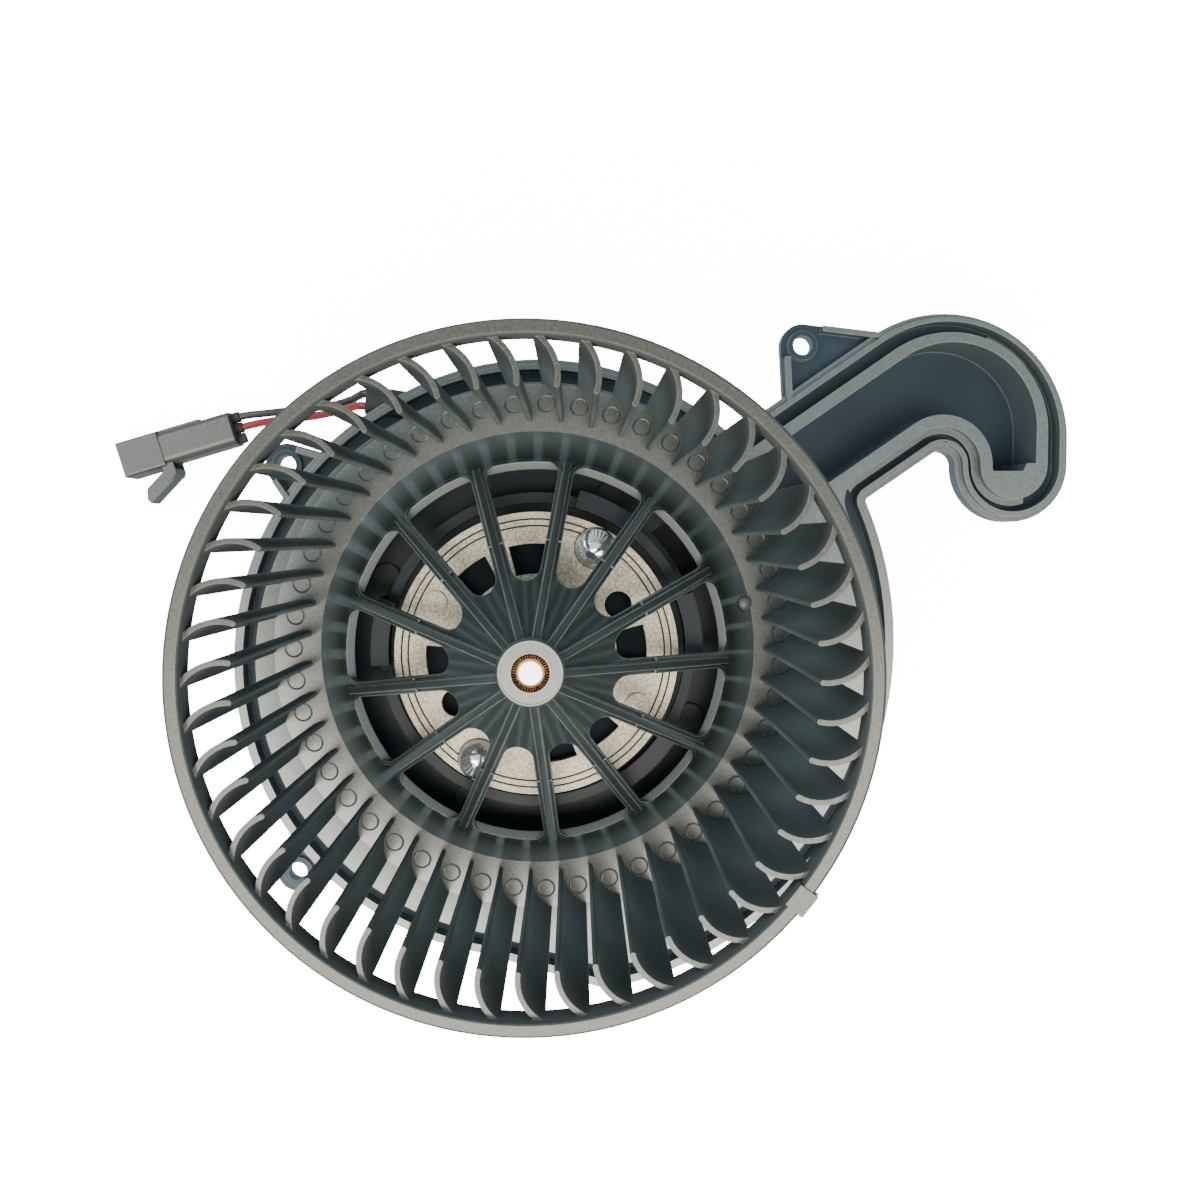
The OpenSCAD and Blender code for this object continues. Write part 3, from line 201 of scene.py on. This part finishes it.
# moulded plastic: spark-textured grey with a sheen on the flat faces that look up, smooth black elsewhere
def moulding(s):
    f = Finish(s["name"], IOR=s["ior"], Specular_IOR_Level=s["gloss"],
               Coat_Roughness=s["sheenRough"], Coat_IOR=s["sheenIor"])
    clouds = f.noise(s["cloudScale"], detail=4.0)
    grain = f.noise(s["grainScale"], detail=2.0)
    speckle = f.noise(s["speckleScale"], detail=2.0, rough=0.7)
    cloudy = clouds.smooth(*s["mottle"])
    speckled = speckle.smooth(*s["mottle"])
    # masks: the ring's height, the hub and its part under painted shade, flat faces, the cone, the bevels,
    # and edges with rub marks and painted highlight
    high = f.z.smooth(*s["ringHeights"])
    raised = f.z.smooth(s["smoothBelow"], s["smoothBelow"] + s["raisedBlur"])
    hub = f.radius.smooth(s["hubRadius"] + s["hubBlur"], s["hubRadius"])
    shaded = hub * f.z.smooth(s["hubTop"], s["hubTop"] - s["hubBlur"])
    flat = f.facing.smooth(*s["flatFacing"]) * raised * (1.0 - shaded)
    cone = f.facing.near(s["coneFacing"], s["coneSpread"]) * hub
    shoulderPaintedLight = f.radius.smooth(s["hubRadius"] - s["shoulderWidth"], s["hubRadius"])
    leaning = f.facing.smooth(*s["bevelLowest"]) * f.facing.smooth(*s["bevelHighest"])
    bevel = f.inward.smooth(*s["bevelInward"]) * leaning * hub
    under = f.radius.smooth(s["wheelEdge"] + s["wheelBlur"], s["wheelEdge"] - s["wheelBlur"])
    wornAndHighlit = f.edges(s["edge"]) * f.noise(s["cloudScale"] * s["highlightPatches"]).smooth(*s["highlightSpread"])
    # colours: upright faces lit by painted bounce light, smooth faces, then the hub's painted shade, the
    # textured flats and edges with rub marks and painted highlight over them
    walls = blend(high, blend(cloudy, s["wallDark"], s["wallLight"]), s["ringWall"])
    smooth = blend(f.facing.smooth(*s["wallFacing"]), walls, blend(cloudy, s["dark"], s["light"]))
    # the hub's painted shade: plate faces under the dome take a dark colour and lose their texture and sheen
    smooth = blend(shaded, smooth, s["hubPaintedShade"])
    dome = blend(clouds, s["coneDark"], s["coneLight"])
    # painted light on the dome's outer band, growing toward its foot where it meets the disc
    smooth = blend(cone, smooth, blend(shoulderPaintedLight, dome, s["shoulderPaintedLight"]))
    # painted highlight on the outer bevels of the wheel's windows; the plate and rubber paint these faces
    # dark as shade
    smooth = blend(bevel, smooth, s["bevelPaint"])
    low = blend(speckled, s["flatDark"], s["flatLight"])
    textured = blend(high, low, blend(speckled, s["ringDark"], s["ringLight"]))
    # edges brightened partly as rub marks and partly as painted highlight, most on the hub's ribs and window
    # frames
    wearAndHighlight = wornAndHighlit * (s["wearAndHighlight"] + hub * (s["hubEdgeHighlight"] - s["wearAndHighlight"]))
    f.colour(blend(wearAndHighlight, blend(flat, smooth, textured), s["wornAndHighlit"]))
    changes = flat * (s["flatRough"] - s["rough"]) + cone * (s["coneRough"] - s["rough"])
    f.roughness(changes + s["rough"] + (clouds - 0.5) * s["roughChange"])
    dulled = (high * s["ringDulled"] * (1.0 - hub)).most(under * s["underDulled"])
    f.sheen(flat * (s["sheen"] + speckle * s["sheenChange"]) * (1.0 - dulled))
    waves = f.noise(s["grainScale"] * s["waveShare"]) * s["waves"]
    f.bump(grain * (s["grain"] + flat) + waves, s["bump"], s["edge"])
    return f.material


belowAll, aboveAll, outsideAll = -1000.0, 1000.0, 500.0  # mm, past the ends and the side of the part
noFace = 5.0  # a facing that no face has, for plastics without a polished dome
wheelPlastic = {
    "name": "wheelPlastic", "ior": 1.5, "gloss": 0.4, "rough": 0.95, "roughChange": 0.1,
    "dark": (0.03, 0.037, 0.037), "light": (0.055, 0.062, 0.06),  # smooth faces
    # upright faces, lighter than the smooth ones of the same black plastic: painted bounce light on the blade
    # sides
    "wallDark": (0.085, 0.108, 0.113), "wallLight": (0.115, 0.14, 0.145), "ringWall": (0.052, 0.057, 0.057),
    "wallFacing": (0.2, 0.6), "mottle": (0.3, 0.7),
    "flatDark": (0.028, 0.029, 0.023), "flatLight": (0.055, 0.056, 0.046), "flatRough": 0.4,  # textured flats
    "flatFacing": (0.8, 0.95), "smoothBelow": belowAll, "raisedBlur": 0.3,  # mm
    "sheen": 0.75, "sheenChange": 0.5, "sheenRough": 0.29, "sheenIor": 1.85,
    "ringDark": (0.022, 0.021, 0.016), "ringLight": (0.046, 0.044, 0.032), "ringDulled": 0.68,
    "ringHeights": (100.0, 150.0), "wheelEdge": 98.0, "wheelBlur": 8.0, "underDulled": 0.0,  # mm
    "coneDark": (0.017, 0.022, 0.023), "coneLight": (0.03, 0.036, 0.037), "coneRough": 0.13,  # polished dome
    # shoulderPaintedLight: colour of the painted light on the dome's outer band
    "coneFacing": 0.7, "coneSpread": 0.15, "shoulderPaintedLight": (0.105, 0.125, 0.128), "shoulderWidth": 10.0,  # mm
    # bevelPaint: colour of the painted highlight on the windows' outer bevels
    "bevelPaint": (0.15, 0.162, 0.158), "bevelInward": (0.3, 0.6),  # outer ends of the windows
    "bevelLowest": (0.2, 0.4), "bevelHighest": (0.95, 0.85),
    # hubPaintedShade: colour of the painted shade on the plate under the dome; hubTop below everything keeps
    # it off the wheel
    "hubRadius": 75.0, "hubTop": belowAll, "hubBlur": 1.0, "hubPaintedShade": (0.004, 0.009, 0.015),  # mm
    # edge colour and amounts: rub marks, and painted highlight along the hub's ribs and window frames
    "wornAndHighlit": (0.26, 0.28, 0.27), "wearAndHighlight": 0.35, "hubEdgeHighlight": 0.9, "highlightPatches": 6.0,
    "highlightSpread": (0.05, 0.4), "edge": 0.0007,  # m
    "cloudScale": 18.0, "grainScale": 2600.0, "speckleScale": 1100.0,  # per m
    "bump": 0.12, "grain": 0.3, "waves": 0.5, "waveShare": 0.15,
}
platePlastic = dict(
    wheelPlastic, name="platePlastic", dark=(0.013, 0.025, 0.037), light=(0.023, 0.038, 0.053),
    wallDark=(0.055, 0.068, 0.08), wallLight=(0.075, 0.09, 0.103), gloss=0.25, rough=0.4,
    # bevelPaint is dark here: painted shade, not a highlight
    flatDark=(0.036, 0.041, 0.038), flatLight=(0.058, 0.064, 0.059), bevelPaint=(0.008, 0.013, 0.018),
    # faces below smoothBelow stay smooth and dark, without sheen: the polished duct floor, and painted shade
    # on the floors of the rim's grooves
    # hubTop above the plate puts every plate face inside hubRadius under the painted shade
    smoothBelow=49.8, underDulled=0.6, hubRadius=77.0, hubTop=200.0, coneFacing=noFace,
    wearAndHighlight=0.7, hubEdgeHighlight=0.4, edge=0.0006,
)
connectorPlastic = dict(
    wheelPlastic, name="connectorPlastic", dark=(0.04, 0.038, 0.031), light=(0.06, 0.057, 0.047),
    wallDark=(0.04, 0.038, 0.031), wallLight=(0.06, 0.057, 0.047), coneFacing=noFace,
    flatDark=(0.018, 0.017, 0.012), flatLight=(0.03, 0.028, 0.021), wornAndHighlit=(0.2, 0.2, 0.18),
    rough=0.5, sheenRough=0.5, edge=0.0005, wheelEdge=outsideAll, underDulled=0.3,
)
blackRubber = dict(
    wheelPlastic, name="blackRubber", dark=(0.012, 0.012, 0.012), light=(0.03, 0.03, 0.03),
    wallDark=(0.012, 0.012, 0.012), wallLight=(0.03, 0.03, 0.03), coneFacing=noFace,
    # bevelPaint is dark here too: painted shade, not a highlight
    flatDark=(0.015, 0.015, 0.015), flatLight=(0.035, 0.035, 0.035), bevelPaint=(0.012, 0.012, 0.012),
    wornAndHighlit=(0.09, 0.09, 0.09), hubEdgeHighlight=0.3, rough=0.7, flatRough=0.75, sheenRough=0.8, edge=0.0004,
    smoothBelow=aboveAll,
)


# metal: clouded shade, bright rubbed edges, and a painted contact shadow round the foot of a domed head
def metal(s):
    f = Finish(s["name"], Metallic=s["metallic"], Specular_IOR_Level=s["gloss"])
    clouds = f.noise(s["cloudScale"], detail=5.0)
    grain = f.noise(s["grainScale"], detail=3.0)
    shade = blend(clouds.smooth(*s["mottle"]), s["dark"], s["light"])
    # painted contact shadow where a domed head's face turns down to its foot
    shade = blend(f.facing.smooth(*s["footShadeFacing"]) * s["footShadeAmount"], shade, s["footShade"])
    f.colour(blend(f.edges(s["edge"]) * s["wearAndHighlight"], shade, s["wornAndHighlit"]))
    f.roughness(s["rough"] + (clouds - 0.5) * s["roughChange"] + (grain - 0.5) * s["grainChange"])
    f.bump(grain, s["bump"], s["edge"])
    return f.material


platedSteel = {
    "name": "platedSteel", "metallic": 0.6, "gloss": 0.5,
    "rough": 0.48, "roughChange": 0.2, "grainChange": 0.15,
    "dark": (0.4, 0.36, 0.3), "light": (0.62, 0.57, 0.49), "mottle": (0.25, 0.75),
    "wornAndHighlit": (0.8, 0.77, 0.7), "wearAndHighlight": 0.4, "edge": 0.0004,  # m
    # colour, amount and facing range of the painted contact shadow round a domed head's foot
    "footShade": (0.05, 0.05, 0.045), "footShadeAmount": 0.0, "footShadeFacing": (0.5, 0.3),
    "cloudScale": 60.0, "grainScale": 1500.0, "bump": 0.3,  # per m
}
brightSteel = dict(
    platedSteel, name="brightSteel", metallic=0.9, dark=(0.8, 0.8, 0.79), light=(1.0, 1.0, 0.99),
    wornAndHighlit=(0.98, 0.98, 0.96), wearAndHighlight=0.0, footShadeAmount=0.9, rough=0.13, bump=0.7, cloudScale=350.0, grainScale=240.0,
)
groundSteel = dict(
    platedSteel, name="groundSteel", metallic=1.0, dark=(0.8, 0.79, 0.77), light=(1.0, 1.0, 0.99),
    wornAndHighlit=(0.98, 0.98, 0.96), rough=0.3, bump=0.1,
)
hubBronze = dict(
    platedSteel, name="hubBronze", metallic=1.0, dark=(0.36, 0.2, 0.1), light=(0.5, 0.3, 0.16),
    wornAndHighlit=(0.72, 0.5, 0.32), rough=0.4,
)
copper = dict(hubBronze, name="copper", dark=(0.3, 0.12, 0.05), light=(0.42, 0.2, 0.1))
darkIron = dict(
    platedSteel, name="darkIron", metallic=0.3, dark=(0.06, 0.06, 0.065), light=(0.1, 0.1, 0.105),
    wornAndHighlit=(0.2, 0.2, 0.2), rough=0.55,
)
pinSteel = dict(
    platedSteel, name="pinSteel", metallic=0.2, dark=(0.1, 0.1, 0.09), light=(0.16, 0.16, 0.15),
    wornAndHighlit=(0.2, 0.2, 0.19), rough=0.45,
)
pressedBoard = dict(
    platedSteel, name="pressedBoard", metallic=0.0, dark=(0.011, 0.016, 0.02), light=(0.018, 0.024, 0.03),
    wornAndHighlit=(0.03, 0.03, 0.03), rough=0.7, gloss=0.05,
)


# pressed end plate: pale zinc with a fine dark grain, and painted shade on the floors of its two grooves
def endPlateZinc(s):
    f = Finish(s["name"], Metallic=s["metallic"])
    clouds = f.noise(s["cloudScale"], detail=5.0)
    grain = f.noise(s["grainScale"], detail=3.0, rough=0.7)
    patches = f.noise(s["pitScale"] * s["patchShare"]).smooth(*s["patchSpread"])
    pits = f.cells(s["pitScale"]).smooth(*s["pitSize"]) * patches * s["pitDepth"]
    sunk = f.z.near(s["grooveFloor"], s["grooveBlur"])
    sunk = sunk * f.radius.smooth(s["grooveFrom"], s["grooveFrom"] + s["grooveSide"])
    mixed = clouds * (1.0 - s["grainShare"]) + grain * s["grainShare"]
    shade = blend(pits, blend(mixed.smooth(*s["mottle"]), s["dark"], s["light"]), s["pit"])
    # groove floors painted near black: painted shade in the grooves
    f.colour(blend(sunk, blend(f.edges(s["edge"]) * s["wearAndHighlight"], shade, s["wornAndHighlit"]), s["groove"]))
    f.roughness(s["rough"] + (clouds - 0.5) * s["roughChange"] + (grain - 0.5) * s["grainChange"])
    f.bump(grain - pits, s["bump"], s["edge"])
    return f.material


endPlate = {
    "name": "endPlateZinc", "metallic": 0.55, "rough": 0.5, "roughChange": 0.2, "grainChange": 0.25,
    "dark": (0.27, 0.235, 0.175), "light": (0.62, 0.55, 0.43), "mottle": (0.4, 0.6), "grainShare": 0.6,
    "wornAndHighlit": (0.75, 0.71, 0.63), "wearAndHighlight": 0.4, "edge": 0.0003,  # m
    "pit": (0.1, 0.09, 0.075), "pitSize": (0.35, 0.15), "pitDepth": 0.6,
    "patchShare": 0.4, "patchSpread": (0.5, 0.62),
    "groove": (0.02, 0.017, 0.013), "grooveFloor": 79.5, "grooveBlur": 0.15,  # mm
    "grooveFrom": 40.0, "grooveSide": 0.5,  # mm
    "cloudScale": 70.0, "grainScale": 1100.0, "pitScale": 1000.0, "bump": 0.6,  # per m
}
print("finishes described")


# leads: the routes of the solids, in mm, each swept as one tube
leadShape = {
    "diameter": 2.85, "spanSteps": 4, "sides": 20,  # mm
    "mottle": (0.3, 0.7), "cloudScale": 90.0, "grainScale": 1800.0, "roughChange": 0.2, "bump": 0.1,  # per m
}
redLead = dict(
    leadShape, dark=(0.17, 0.003, 0.002), light=(0.26, 0.007, 0.005), rough=0.42,
    route=[
        (-55.26, 84.23, 46), (-62.19, 85.21, 46), (-65.6, 85.35, 43.25), (-68.66, 85.23, 39.73),
        (-71.69, 84.94, 36.31), (-74.8, 84.56, 33.13), (-78.07, 84.2, 30.23), (-81.5, 83.89, 27.55),
        (-85.06, 83.65, 24.96), (-88.71, 83.49, 22.34), (-92.41, 83.42, 19.58), (-96.16, 83.4, 16.71),
        (-99.97, 83.36, 13.91), (-103.85, 83.21, 11.35), (-107.83, 82.88, 9.21), (-111.92, 82.29, 7.67),
        (-116.13, 81.36, 6.9), (-118.9, 80.53, 6.9),
    ],
)
blackLead = dict(
    leadShape, dark=(0.01, 0.01, 0.011), light=(0.025, 0.026, 0.028), rough=0.4,
    route=[
        (-54.66, 88.59, 46), (-61.59, 89.57, 46), (-64.6, 89.13, 42.67), (-67.4, 88.44, 38.83),
        (-70.5, 87.85, 35.5), (-73.81, 87.44, 32.39), (-77.19, 87.22, 29.21), (-80.65, 87.15, 25.96),
        (-84.2, 87.17, 22.75), (-87.88, 87.2, 19.65), (-91.7, 87.18, 16.73), (-95.67, 87.05, 14.09),
        (-99.8, 86.85, 11.78), (-104.04, 86.6, 9.86), (-108.4, 86.34, 8.36), (-112.83, 86.05, 7.36),
        (-117.33, 85.38, 6.9), (-120.11, 84.55, 6.9),
    ],
)


def smoothPath(points, steps):  # cubic through all points: each span eased by its neighbours' directions
    p = np.array(points, float)
    before = np.vstack([p[:1], p[:-1]])
    after = np.vstack([p[1:], p[-1:]])
    slope = (after - before) / 2.0
    t = np.linspace(0.0, 1.0, steps, endpoint=False)[None, :, None]
    a, b, ma, mb = p[:-1, None], p[1:, None], slope[:-1, None], slope[1:, None]
    spans = ((2 * t**3 - 3 * t**2 + 1) * a + (t**3 - 2 * t**2 + t) * ma
             + (3 * t**2 - 2 * t**3) * b + (t**3 - t**2) * mb)
    return np.vstack([spans.reshape(-1, 3), p[-1:]])


def meshPiece(name, points, faces, smooth=True):
    mesh = bpy.data.meshes.new(name)
    mesh.from_pydata(points.reshape(-1, 3).tolist(), [], faces.tolist())
    mesh.polygons.foreach_set("use_smooth", np.full(len(mesh.polygons), smooth))
    piece = bpy.data.objects.new(name, mesh)
    bpy.context.scene.collection.objects.link(piece)
    return piece


def gridFaces(rows, columns, ring=False, loop=False):  # quads; ring joins columns, loop joins rows
    downs = np.arange(rows if loop else rows - 1)
    acrosses = np.arange(columns if ring else columns - 1)
    i, j = np.meshgrid(downs, acrosses, indexing="ij")
    k, n = (j + 1) % columns, (i + 1) % rows
    return np.stack([i * columns + j, i * columns + k, n * columns + k, n * columns + j], -1).reshape(-1, 4)


# point(u, v) = path(u) + radius * (cos v * side(u) - sin v * up(u)), drawn in to almost nothing at both ends
def tube(path, radius, sides, tip=0.001):
    way = np.gradient(path, axis=0)
    way /= np.linalg.norm(way, axis=1, keepdims=True)
    side = np.cross(way, [0.0, 0.0, 1.0])
    side /= np.linalg.norm(side, axis=1, keepdims=True)
    up = np.cross(side, way)
    v = np.linspace(0.0, 2.0 * np.pi, sides, endpoint=False)[None, :, None]
    size = np.full(len(path) + 2, radius)
    size[[0, -1]] = radius * tip
    rows = np.r_[0, np.arange(len(path)), len(path) - 1]
    ring = np.cos(v) * side[rows][:, None] - np.sin(v) * up[rows][:, None]
    return path[rows][:, None] + size[:, None, None] * ring


def insulation(name, s):
    f = Finish(name)
    clouds = f.noise(s["cloudScale"], detail=4.0)
    f.colour(blend(clouds.smooth(*s["mottle"]), s["dark"], s["light"]))
    f.roughness(s["rough"] + (clouds - 0.5) * s["roughChange"])
    f.bump(f.noise(s["grainScale"]), s["bump"])
    return f.material


def makeLead(name, node, s):
    path = smoothPath(s["route"], s["spanSteps"]) * mm
    rows = tube(path, s["diameter"] * mm / 2.0, s["sides"])
    lead = meshPiece(name, rows, gridFaces(*rows.shape[:2], ring=True))
    lead.data.materials.append(insulation(name + "Insulation", s))
    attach(lead, "root")
    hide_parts(node)
    s["diameter"] * mm
    return lead


makeLead("redLead", "red_lead", redLead)
makeLead("blackLead", "black_lead", blackLead)
print("leads laid")


# knurl: the toothed end of the hub bush round the shaft
bushKnurl = {
    "teeth": 40, "toothSteps": 8, "rise": 0.75, "bite": 0.3, "cut": 0.42, "slack": 0.06,  # mm
    "share": (0.0, 0.0, 0.3, 0.7, 1.0, 1.0),  # section, from the outer to the inner wall
    "crown": (0.7, 1.0, 0.8, 0.3), "cutShare": (0.0, 1.0, 1.0, 1.0, 0.5, 0.0),
    "metallic": 0.9, "dark": (0.03, 0.012, 0.006), "gold": (0.55, 0.3, 0.13), "crest": (0.3, 0.8),
    "rough": 0.34, "roughChange": 0.3, "roughScale": 1500.0,  # per m
    "patchScale": 900.0, "patchSpread": (0.25, 0.6), "grainScale": 4000.0, "bump": 0.2,  # per m
}


def knurlBronze(s):
    f = Finish("knurlBronze", Metallic=s["metallic"])
    tooth = abs((f.angle * (s["teeth"] / 360.0)).wrap(0.0, 1.0) - 0.5) * 2.0  # 0 in a gap, 1 on a crest
    # gold only on crests and in patches, near black elsewhere: the bush's dark tone, with painted shade in
    # the gaps between teeth
    gilt = tooth.smooth(*s["crest"]) * f.noise(s["patchScale"]).smooth(*s["patchSpread"])
    f.colour(blend(gilt, s["dark"], s["gold"]))
    f.roughness(s["rough"] + (f.noise(s["roughScale"]) - 0.5) * s["roughChange"])
    f.bump(f.noise(s["grainScale"]), s["bump"])
    return f.material


# ring section carried round the shaft by angle a
# its crown drops by cut * (1 - tooth(a)), where tooth is a triangle wave of a
def makeKnurl(s):
    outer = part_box("hub_bush")[1][0] / mm - s["slack"]
    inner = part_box("motor_shaft")[1][0] / mm + s["slack"]
    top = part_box("hub_bush")[1][2] / mm
    steps = s["teeth"] * s["toothSteps"]
    a = np.arange(steps) * 2.0 * np.pi / steps
    tooth = 2.0 * np.abs((a * s["teeth"] / (2.0 * np.pi)) % 1.0 - 0.5)
    share = np.array(s["share"])[:, None]
    crown = s["rise"] * np.array(s["crown"])
    height = np.r_[-s["bite"], crown, -s["bite"]][:, None]
    cut = np.array(s["cutShare"])[:, None] * s["cut"] * (1.0 - tooth)
    radius = outer + (inner - outer) * share
    rows = np.stack([radius * np.cos(a), radius * np.sin(a), top + height - cut], -1) * mm
    piece = meshPiece("bushKnurl", rows, gridFaces(*rows.shape[:2], ring=True, loop=True), smooth=False)
    piece.data.materials.append(knurlBronze(s))
    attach(piece, "rotor")


makeKnurl(bushKnurl)
print("knurl cut")


# ejector marks: a low round pad between every two blades, on the wheel's disc, ringed by a painted shadow
ejectorMarks = {
    "count": 47, "circle": 84.3, "first": 3.65, "radius": 3.25, "rise": 0.16, "sunk": 0.05,  # mm and degrees
    "floorShare": 0.4, "pole": 0.002, "discThickness": 2.4, "sides": 28,  # mm
    # rimShade marks where the painted shadow ring lies along the pad's section
    "insets": (0.0, 0.08, 0.3, 0.4, 0.75), "rimShade": (1.0, 0.8, 0.2, 0.9, 0.0, 0.0),  # mm from the wall
    # line: colour of the painted shadow round each pad
    "line": (0.008, 0.01, 0.011), "lineShare": 0.75, "lineRough": 0.2,
}


def markPlastic(s, w):
    f = Finish("markPlastic", IOR=w["ior"], Specular_IOR_Level=w["gloss"],
               Coat_Roughness=w["sheenRough"], Coat_IOR=w["sheenIor"])
    rim = f.place.make("Attribute", {"attribute_name": "rim"}, out="Fac")
    speckle = f.noise(w["speckleScale"], detail=2.0, rough=0.7)
    textured = blend(speckle.smooth(*w["mottle"]), w["flatDark"], w["flatLight"])
    # painted shadow ring along each pad's rim, with less sheen there
    f.colour(blend(rim * s["lineShare"], textured, s["line"]))
    f.roughness(w["flatRough"] + rim * s["lineRough"])
    f.sheen((1.0 - rim) * (w["sheen"] + speckle * w["sheenChange"]))
    f.bump(f.noise(w["grainScale"], detail=2.0), w["bump"])
    return f.material


# pad section, from its wall over a raised rim to a lower middle, carried round its own centre
# the whole pad is then turned about the shaft once for every mark
def makeEjectorMarks(s):
    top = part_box("blower_wheel")[0][2] / mm + s["discThickness"]
    middle = s["rise"] * s["floorShare"]
    r = np.r_[s["radius"] - np.array(s["insets"]), s["pole"]][:, None]
    z = np.array([-s["sunk"], s["rise"], s["rise"], middle, middle, middle])[:, None]
    rim = np.array(s["rimShade"])
    v = np.linspace(0.0, 2.0 * np.pi, s["sides"], endpoint=False)
    x = s["circle"] + r * np.cos(v)
    y = r * np.sin(v)
    a = np.radians(s["first"] + 360.0 * np.arange(s["count"]) / s["count"])[:, None, None]
    height = np.broadcast_to(top + z, (s["count"], *x.shape))
    points = np.stack([x * np.cos(a) - y * np.sin(a), x * np.sin(a) + y * np.cos(a), height], -1) * mm
    faces = gridFaces(*x.shape, ring=True)[None] + (np.arange(s["count"]) * x.size)[:, None, None]
    piece = meshPiece("ejectorMarks", points, faces.reshape(-1, 4))
    values = np.tile(np.repeat(rim, s["sides"]), s["count"]).astype(np.float32)
    piece.data.attributes.new("rim", "FLOAT", "POINT").data.foreach_set("value", values)
    piece.data.materials.append(markPlastic(s, wheelPlastic))
    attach(piece, "rotor")


makeEjectorMarks(ejectorMarks)
print("ejector marks set")


# studio: pale floor that curves up all round, one broad light above, a soft fill and an even sky
studio = {
    "floor": 2.5, "curve": 3.0, "drop": 0.0002, "pole": 0.001, "curveSteps": 24, "sides": 72,  # m
    "floorColour": (0.93, 0.93, 0.92), "floorShade": 0.99, "floorScale": 3.0,  # per m
    "floorGlow": 14.0, "floorRough": 0.9, "floorGloss": 0.1,
    "sky": 1.08, "skyColour": (0.76, 0.94, 1.0),
    "topSize": (1.2, 0.78), "topPlace": (0.0, -0.46, 0.95), "topPower": 26.0, "topColour": (1.0, 0.945, 0.81),
    "fillPlace": (-0.7, 0.45, 0.7), "fillPower": 22.0, "fillSize": 0.3, "fillColour": (0.9, 0.97, 1.0),
}


def floorPaper(s):
    f = Finish("floorPaper", Emission_Strength=s["floorGlow"], Specular_IOR_Level=s["floorGloss"],
               Emission_Color=(1.0, 1.0, 1.0, 1.0), Roughness=s["floorRough"])
    darker = tuple(s["floorShade"] * c for c in s["floorColour"])
    f.colour(blend(f.noise(s["floorScale"]), s["floorColour"], darker))
    return f.material


def makeFloor(s):  # section carried round Z: flat, then a quarter circle up
    along = np.linspace(0.0, np.pi / 2.0, s["curveSteps"])
    out = np.r_[s["pole"], s["floor"], s["floor"] + s["curve"] * np.sin(along)][:, None]
    up = np.r_[0.0, 0.0, s["curve"] * (1.0 - np.cos(along))][:, None] - s["drop"]
    v = np.linspace(0.0, 2.0 * np.pi, s["sides"], endpoint=False)
    rows = np.stack([out * np.cos(v), out * np.sin(v), np.repeat(up, s["sides"], 1)], -1)
    floor = meshPiece("floor", rows, gridFaces(*rows.shape[:2], ring=True)[:, ::-1])
    floor.data.materials.append(floorPaper(s))
    floor.visible_diffuse = False  # the glowing paper is only seen, and the sky lights the part from below
    floor.visible_glossy = False
    floor.visible_shadow = False


def makeLight(name, kind, place, power, colour):
    light = bpy.data.lights.new(name, kind)
    light.energy = power
    light.color = colour
    lamp = bpy.data.objects.new(name, light)
    lamp.location = place
    bpy.context.scene.collection.objects.link(lamp)
    return light


def makeStudio(s):
    makeFloor(s)
    world = bpy.data.worlds.new("studioSky")
    world.use_nodes = True
    sky = world.node_tree.nodes["Background"]
    sky.inputs["Color"].default_value = (*s["skyColour"], 1.0)
    sky.inputs["Strength"].default_value = s["sky"]
    bpy.context.scene.world = world
    top = makeLight("topLight", "AREA", s["topPlace"], s["topPower"], s["topColour"])
    top.shape = "RECTANGLE"
    top.size, top.size_y = s["topSize"]
    fill = makeLight("fillLight", "POINT", s["fillPlace"], s["fillPower"], s["fillColour"])
    fill.shadow_soft_size = s["fillSize"]
    fill.specular_factor = 0.0  # it lights the blades that look away from the top light, with no highlight


makeStudio(studio)
print("studio made")


# finishes of the CAD nodes
def dress(material, *names):
    for name in names:
        mesh = nodes[name].data
        mesh.materials.clear()
        mesh.materials.append(material)


dress(moulding(wheelPlastic), "blower_wheel", "balance_clip")
dress(moulding(platePlastic), "scroll_plate", "rear_cover")
dress(moulding(connectorPlastic), "connector_housing", "connector_latch")
dress(moulding(blackRubber), "front_isolator", "rear_isolator", "lead_grommet", "wire_seals", "brushes")
dress(endPlateZinc(endPlate), "front_end_plate")
dress(metal(platedSteel), "motor_can", "cover_screws")
dress(metal(pinSteel), "balance_pin")
dress(metal(brightSteel), "tie_bolts")
dress(metal(groundSteel), "motor_shaft", "bearing_retainers", "brush_springs")
dress(metal(hubBronze), "hub_bush", "front_bearing", "rear_bearing", "brush_holders", "connector_terminals")
dress(metal(copper), "armature_winding", "commutator")
dress(metal(darkIron), "armature_core", "field_magnets")
dress(metal(pressedBoard), "brush_card", "thrust_washers")
print("nodes dressed")
